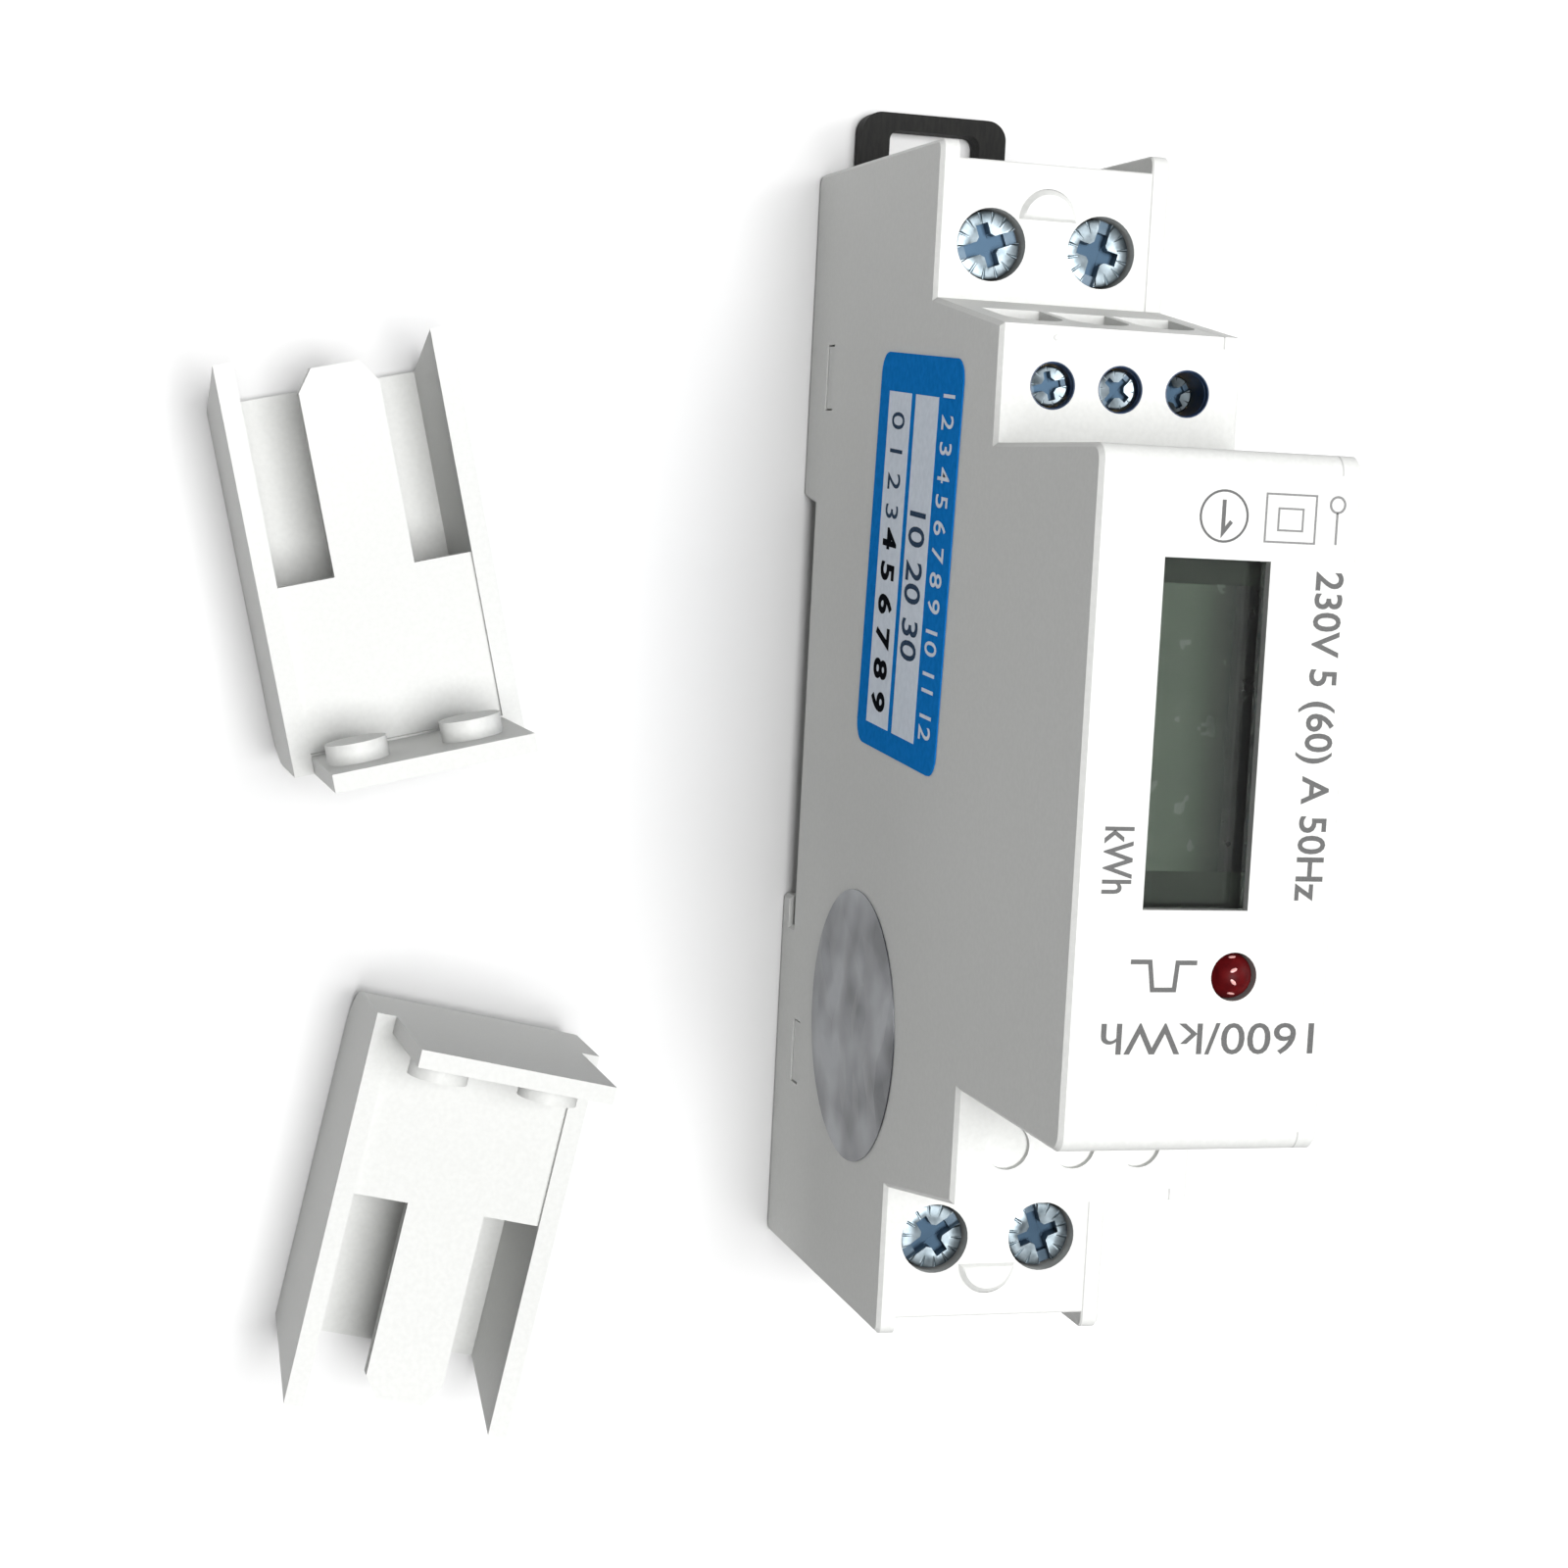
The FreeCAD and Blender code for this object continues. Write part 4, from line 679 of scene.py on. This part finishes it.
# Printed marks.
# Pad-printed grey ink on the front: the rating, the unit, the class and insulation signs, the
# pulse sign by the lamp and the pulse rate under it.
INK_DIM = (0.05, 0.05, 0.05)
INK_BRIGHT = (0.075, 0.075, 0.075)
PALE_INK_DIM = (0.13, 0.13, 0.13)
PALE_INK_BRIGHT = (0.17, 0.17, 0.17)
INK_T = 0.02
MITRE_LIMIT = 0.3
CURVE_STEPS = 4
FRONT_Z = 65.0
ink = finish("grey_ink", INK_DIM, INK_BRIGHT, 0.12, (0.5, 0.6), (0.1, 0.004))
pale_ink = finish("pale_ink", PALE_INK_DIM, PALE_INK_BRIGHT, 0.12, (0.5, 0.6), (0.1, 0.004))


def lettering(name, words, start, reading, up, length, height, weight=0.0):
    """Raised letters that fill a strip: from its start corner along reading, as tall as height."""
    curve = bpy.data.curves.new(name, "FONT")
    curve.body = words
    curve.extrude = 1.0
    curve.offset = weight
    curve.resolution_u = CURVE_STEPS
    writer = bpy.data.objects.new(name, curve)
    bpy.context.scene.collection.objects.link(writer)
    bpy.context.view_layer.update()
    depsgraph = bpy.context.evaluated_depsgraph_get()
    mesh = bpy.data.meshes.new_from_object(writer.evaluated_get(depsgraph))
    bpy.data.objects.remove(writer)
    low = [min(v.co[k] for v in mesh.vertices) for k in (0, 1)]
    high = [max(v.co[k] for v in mesh.vertices) for k in (0, 1)]
    reading, up = Vector(reading).normalized(), Vector(up).normalized()
    out = reading.cross(up)
    for vertex in mesh.vertices:
        along = (vertex.co.x - low[0]) / (high[0] - low[0]) * length
        rise = (vertex.co.y - low[1]) / (high[1] - low[1]) * height
        lift = INK_T if vertex.co.z > 0 else 0.0
        vertex.co = (Vector(start) + reading * along + up * rise + out * lift) * MM
    mesh.name = name
    mesh.materials.clear()
    return mesh


def strokes(name, lines, width, to_space):
    """Flat raised lines of one width along (a, b) points; a line that ends where it starts closes."""
    shape = bmesh.new()
    for line in lines:
        closed = line[0] == line[-1]
        points = [Vector(p) for p in (line[:-1] if closed else line)]
        rows = []
        for k, point in enumerate(points):
            before = points[k - 1] if k or closed else None
            after = points[(k + 1) % len(points)] if k + 1 < len(points) or closed else None
            into = (point - before).normalized() if before else (after - point).normalized()
            away = (after - point).normalized() if after else into
            across = Vector((-(into + away).y, (into + away).x)).normalized()
            reach = width / 2 / max(across.dot(Vector((-into.y, into.x))), MITRE_LIMIT)
            edge = [point + across * reach, point - across * reach]
            row = [to_space(e.x, e.y, lift) * MM for lift in (0.0, INK_T) for e in edge]
            rows.append([shape.verts.new(corner) for corner in row])
        pairs = list(zip(rows, rows[1:])) + ([(rows[-1], rows[0])] if closed else [])
        for a, b in pairs:
            for i, j in ((0, 1), (1, 3), (3, 2), (2, 0)):
                shape.faces.new((a[i], a[j], b[j], b[i]))
        if not closed:
            for end in (rows[0], rows[-1]):
                shape.faces.new((end[0], end[1], end[3], end[2]))
    bmesh.ops.recalc_face_normals(shape, faces=shape.faces)
    mesh = bpy.data.meshes.new(name)
    shape.to_mesh(mesh)
    shape.free()
    return mesh


def circle(x, y, radius, count=40):
    """Points round a circle, closed."""
    angles = [2 * math.pi * k / count for k in range(count)]
    ring = [(x + radius * math.cos(angle), y + radius * math.sin(angle)) for angle in angles]
    return ring + ring[:1]


def square(x, y):
    """Points round a rectangle between two x and two y values, closed."""
    return [(x[0], y[0]), (x[1], y[0]), (x[1], y[1]), (x[0], y[1]), (x[0], y[0])]


def on_front(x, y, lift):
    """A point on the front face."""
    return Vector((x, y, FRONT_Z + lift))


down, right, left = (0, -1, 0), (1, 0, 0), (-1, 0, 0)
FRONT_WORDS = (("rating_print", "230V 5 (60) A 50Hz", (5.55, 15.1), down, right, 21.15, 2.55, 0.014),
               ("unit_print", "kWh", (-7.2, -1.44), down, right, 4.27, 2.0, 0.014),
               ("rate_print", "1600/kWh", (8.2, -14.0), left, down, 14.8, 2.05, 0.004))
for name, words, start, reading, up, length, height, weight in FRONT_WORDS:
    mesh = lettering(name, words, (*start, FRONT_Z), reading, up, length, height, weight)
    piece(name, mesh, ink, "meter")
one = [(-0.5, 19.35), (-0.5, 17.3), (0.05, 18.0)]
squares = [square((2.4, 5.84), (16.85, 19.87)), square((3.28, 4.96), (17.6, 18.98))]
stick = [circle(7.33, 19.37, 0.5, 28), [(7.33, 18.87), (7.33, 16.83)]]
wave = [(-4.87, -10.05), (-3.55, -10.05), (-3.3, -11.85), (-1.8, -11.85), (-1.65, -10.1), (-0.31, -10.1)]
FRONT_SIGNS = (("phase_ring", [circle(-0.47, 18.32, 1.6)], 0.15, ink), ("phase_sign", [one], 0.26, ink),
               ("insulation_signs", squares, 0.13, pale_ink), ("neutral_sign", stick, 0.15, pale_ink),
               ("pulse_sign", [wave], 0.3, ink))
for name, lines, width, colour in FRONT_SIGNS:
    piece(name, strokes(name, lines, width, on_front), colour, "meter")

# Certificate label.
# A printed film label in sky blue with two pale strips for a hand or a date stamp; the strips
# carry plain numbers only.
LABEL_TURN = math.radians(3.5)
LABEL_SIZE = (30.0, 18.9)
LABEL_CORNER = 1.6
LABEL_T = 0.1
LABEL_SOFT = 0.03
CORNER_STEPS = 6
blue = finish("blue_film", (0.006, 0.17, 0.52), (0.01, 0.2, 0.6), 0.6, (0.45, 0.55), (0.08, 0.01), shine=0.0)
strip_grey = finish("pale_strip", (0.64, 0.7, 0.78), (0.7, 0.76, 0.84), 0.6, (0.5, 0.6), (0.05, 0.01),
                    shine=0.0)
stamp_ink = finish("stamp_ink", (0.004, 0.005, 0.007), (0.009, 0.01, 0.013), 0.2, (0.5, 0.6), (0.05, 0.005),
                   shine=0.0)
slate_ink = finish("slate_ink", (0.03, 0.055, 0.1), (0.05, 0.08, 0.13), 0.2, (0.5, 0.6), (0.05, 0.005),
                   shine=0.0)
label_low, label_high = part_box("certificate_label")
label_middle = (label_low + label_high) / 2 / MM
LABEL_FACE_X = label_low.x / MM


def on_label(along, rise, lift=0.0):
    """A point on the turned label: along its length towards the low end, rise towards the front."""
    y = -along * math.cos(LABEL_TURN) - rise * math.sin(LABEL_TURN) + label_middle.y
    z = -along * math.sin(LABEL_TURN) + rise * math.cos(LABEL_TURN) + label_middle.z
    return Vector((LABEL_FACE_X - lift, y, z))


def rounded(half_a, half_b, radius):
    """Outline of a rectangle round the origin with rounded corners."""
    points = []
    for side_a, side_b, start in ((1, 1, 0), (-1, 1, 90), (-1, -1, 180), (1, -1, 270)):
        for k in range(CORNER_STEPS + 1):
            angle = math.radians(start + 90 / CORNER_STEPS * k)
            points.append((side_a * (half_a - radius) + radius * math.cos(angle),
                           side_b * (half_b - radius) + radius * math.sin(angle)))
    return points


reading = on_label(1, 0) - on_label(0, 0)
rising = on_label(0, 1) - on_label(0, 0)
lay = frame_at(on_label(0, 0, -LABEL_T), reading, rising, (-1, 0, 0))
outline = rounded(LABEL_SIZE[0] / 2, LABEL_SIZE[1] / 2, LABEL_CORNER)
mesh = plate_mesh("label_film", outline, LABEL_T, LABEL_SOFT, lay)
label_film = piece("label_film", mesh, blue, "meter")
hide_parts("certificate_label")
STRIP_ALONG = (-12.1, 13.2)
STRIP_RISES = ((-7.1, -1.75), (-0.75, 4.5))
for number, rise in enumerate(STRIP_RISES, 1):
    middle = sum(rise) / 2
    line = [(along, middle) for along in STRIP_ALONG]
    mesh = strokes(f"label_strip_{number}", [line], rise[1] - rise[0], on_label)
    piece(f"label_strip_{number}", mesh, strip_grey, "meter")
MONTHS = " ".join(str(month) for month in range(1, 13))
LABEL_WORDS = (("label_small_numbers", "0 1 2 3", -10.6, -6.0, 8.0, 3.0, 0.0, slate_ink),
               ("label_bold_numbers", "4 5 6 7 8 9", -1.9, -6.2, 14.0, 3.4, 0.03, stamp_ink),
               ("label_large_numbers", "10 20 30", -3.6, -0.1, 11.0, 3.7, 0.01, slate_ink),
               ("label_month_numbers", MONTHS, -12.4, 5.5, 25.0, 2.6, 0.005, strip_grey))
for name, words, along, rise, length, height, weight, colour in LABEL_WORDS:
    mesh = lettering(name, words, on_label(along, rise, INK_T), reading, rising, length, height, weight)
    piece(name, mesh, colour, "meter")

# Foil seal.
# A round tamper seal of pressed silver foil; its facets catch the light one by one.
SEAL_R = 10.6
SEAL_SIDES = 60
SEAL_T = 0.1
FACET_COUNT = 70
FACET_LIFT = (0.02, 0.17)
FACET_REACH = 0.93
FACET_RIM = 0.97
FOIL_DETAIL = 1.5
GOLDEN_ANGLE = math.radians(137.5)
foil = finish("pressed_foil", (0.07, 0.075, 0.085), (0.31, 0.32, 0.34), 5.5, (0.3, 0.42), (0.1, 0.02), 0.5)
foil.node_tree.nodes["Noise Texture"].inputs["Detail"].default_value = FOIL_DETAIL
draw = random.Random(7)
seal_low, seal_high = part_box("round_seal")
seal_middle = (seal_low + seal_high) / 2 / MM
angles = [2 * math.pi * k / SEAL_SIDES for k in range(SEAL_SIDES)]
flat = [Vector((SEAL_R * math.cos(angle), SEAL_R * math.sin(angle))) for angle in angles]
for k in range(FACET_COUNT):
    radius = SEAL_R * FACET_REACH * math.sqrt((k + draw.uniform(0.2, 0.8)) / FACET_COUNT)
    flat.append(Vector((radius * math.cos(GOLDEN_ANGLE * k), radius * math.sin(GOLDEN_ANGLE * k))))
spots, _, facets, _, _, _ = delaunay_2d_cdt(flat, [], [], 0, 1e-6)
shape = bmesh.new()
face_x = seal_high.x / MM - SEAL_T
crests = []
for spot in spots:
    lift = draw.uniform(*FACET_LIFT) if spot.length < SEAL_R * FACET_RIM else 0.0
    crests.append(shape.verts.new((face_x - lift, spot.x + seal_middle.y, spot.y + seal_middle.z)))
for facet in facets:
    shape.faces.new([crests[k] for k in facet])
rim = [edge for edge in shape.edges if edge.is_boundary]
skirt = bmesh.ops.extrude_edge_only(shape, edges=rim)["geom"]
back = [item for item in skirt if isinstance(item, bmesh.types.BMVert)]
bmesh.ops.translate(shape, vec=(SEAL_T, 0, 0), verts=back)
bmesh.ops.holes_fill(shape, edges=[edge for edge in shape.edges if edge.is_boundary], sides=0)
bmesh.ops.recalc_face_normals(shape, faces=shape.faces)
bmesh.ops.scale(shape, vec=(MM, MM, MM), verts=shape.verts)
mesh = bpy.data.meshes.new("foil_facets")
shape.to_mesh(mesh)
shape.free()
seal = piece("foil_facets", mesh, foil, "meter")
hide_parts("round_seal")

# Terminal covers.
# Two snap-on covers of the housing's plastic, thinner walled, with tongues that hold the cover
# down and two pegs that find the holes of the riser.
cover_white = finish("cover_moulding", WHITE_DIM, WHITE_BRIGHT, 0.4, WHITE_ROUGH, WHITE_RELIEF,
                     shine=WHITE_SHINE)
paint(cover_white, "terminal_cover_lower", "terminal_cover_upper")
break_edges(MOULD_RADIUS, "terminal_cover_lower", "terminal_cover_upper")

# Boards and what stands on them.
# Green glass-epoxy boards with their mains parts: film and can capacitors, a coated disc, a
# ceramic resistor, moulded chips, a crystal can and the leads from the bars.
ELECTRONICS = {
    "board_green": (((0.012, 0.1, 0.03), (0.02, 0.14, 0.045), 1.2, (0.25, 0.4), (0.2, 0.02)),
                    ("main_board", "display_board", "pulse_board")),
    "film_case": (((0.7, 0.5, 0.04), (0.8, 0.6, 0.07), 0.6, (0.35, 0.45), (0.1, 0.01)), ("film_capacitor",)),
    "can_sleeve": (((0.015, 0.015, 0.022), (0.03, 0.03, 0.045), 0.8, (0.25, 0.35), (0.1, 0.01)),
                   ("smoothing_capacitor",)),
    "disc_epoxy": (((0.02, 0.08, 0.33), (0.04, 0.12, 0.42), 0.5, (0.3, 0.45), (0.3, 0.03)), ("varistor",)),
    "resistor_ceramic": (((0.3, 0.36, 0.38), (0.4, 0.45, 0.47), 0.4, (0.5, 0.65), (0.3, 0.02)),
                         ("dropper_resistor",)),
    "chip_epoxy": (((0.014, 0.014, 0.015), (0.03, 0.03, 0.032), 0.15, (0.5, 0.65), (0.3, 0.01)),
                   ("optocoupler", "metering_chip", "controller_chip")),
    "red_insulation": (((0.42, 0.01, 0.01), (0.5, 0.02, 0.02), 0.5, (0.35, 0.45), (0.1, 0.01)),
                       ("sense_lead_1", "sense_lead_2")),
    "blue_insulation": (((0.01, 0.04, 0.34), (0.02, 0.06, 0.42), 0.5, (0.35, 0.45), (0.1, 0.01)),
                        ("neutral_lead",))}
for name, (values, nodes) in ELECTRONICS.items():
    paint(finish(name, *values), *nodes)
can = finish("crystal_can", (0.5, 0.5, 0.5), (0.66, 0.66, 0.67), 0.3, (0.2, 0.32), (0.1, 0.01), 1.0,
             (1, 0.2, 1))
paint(can, "crystal")
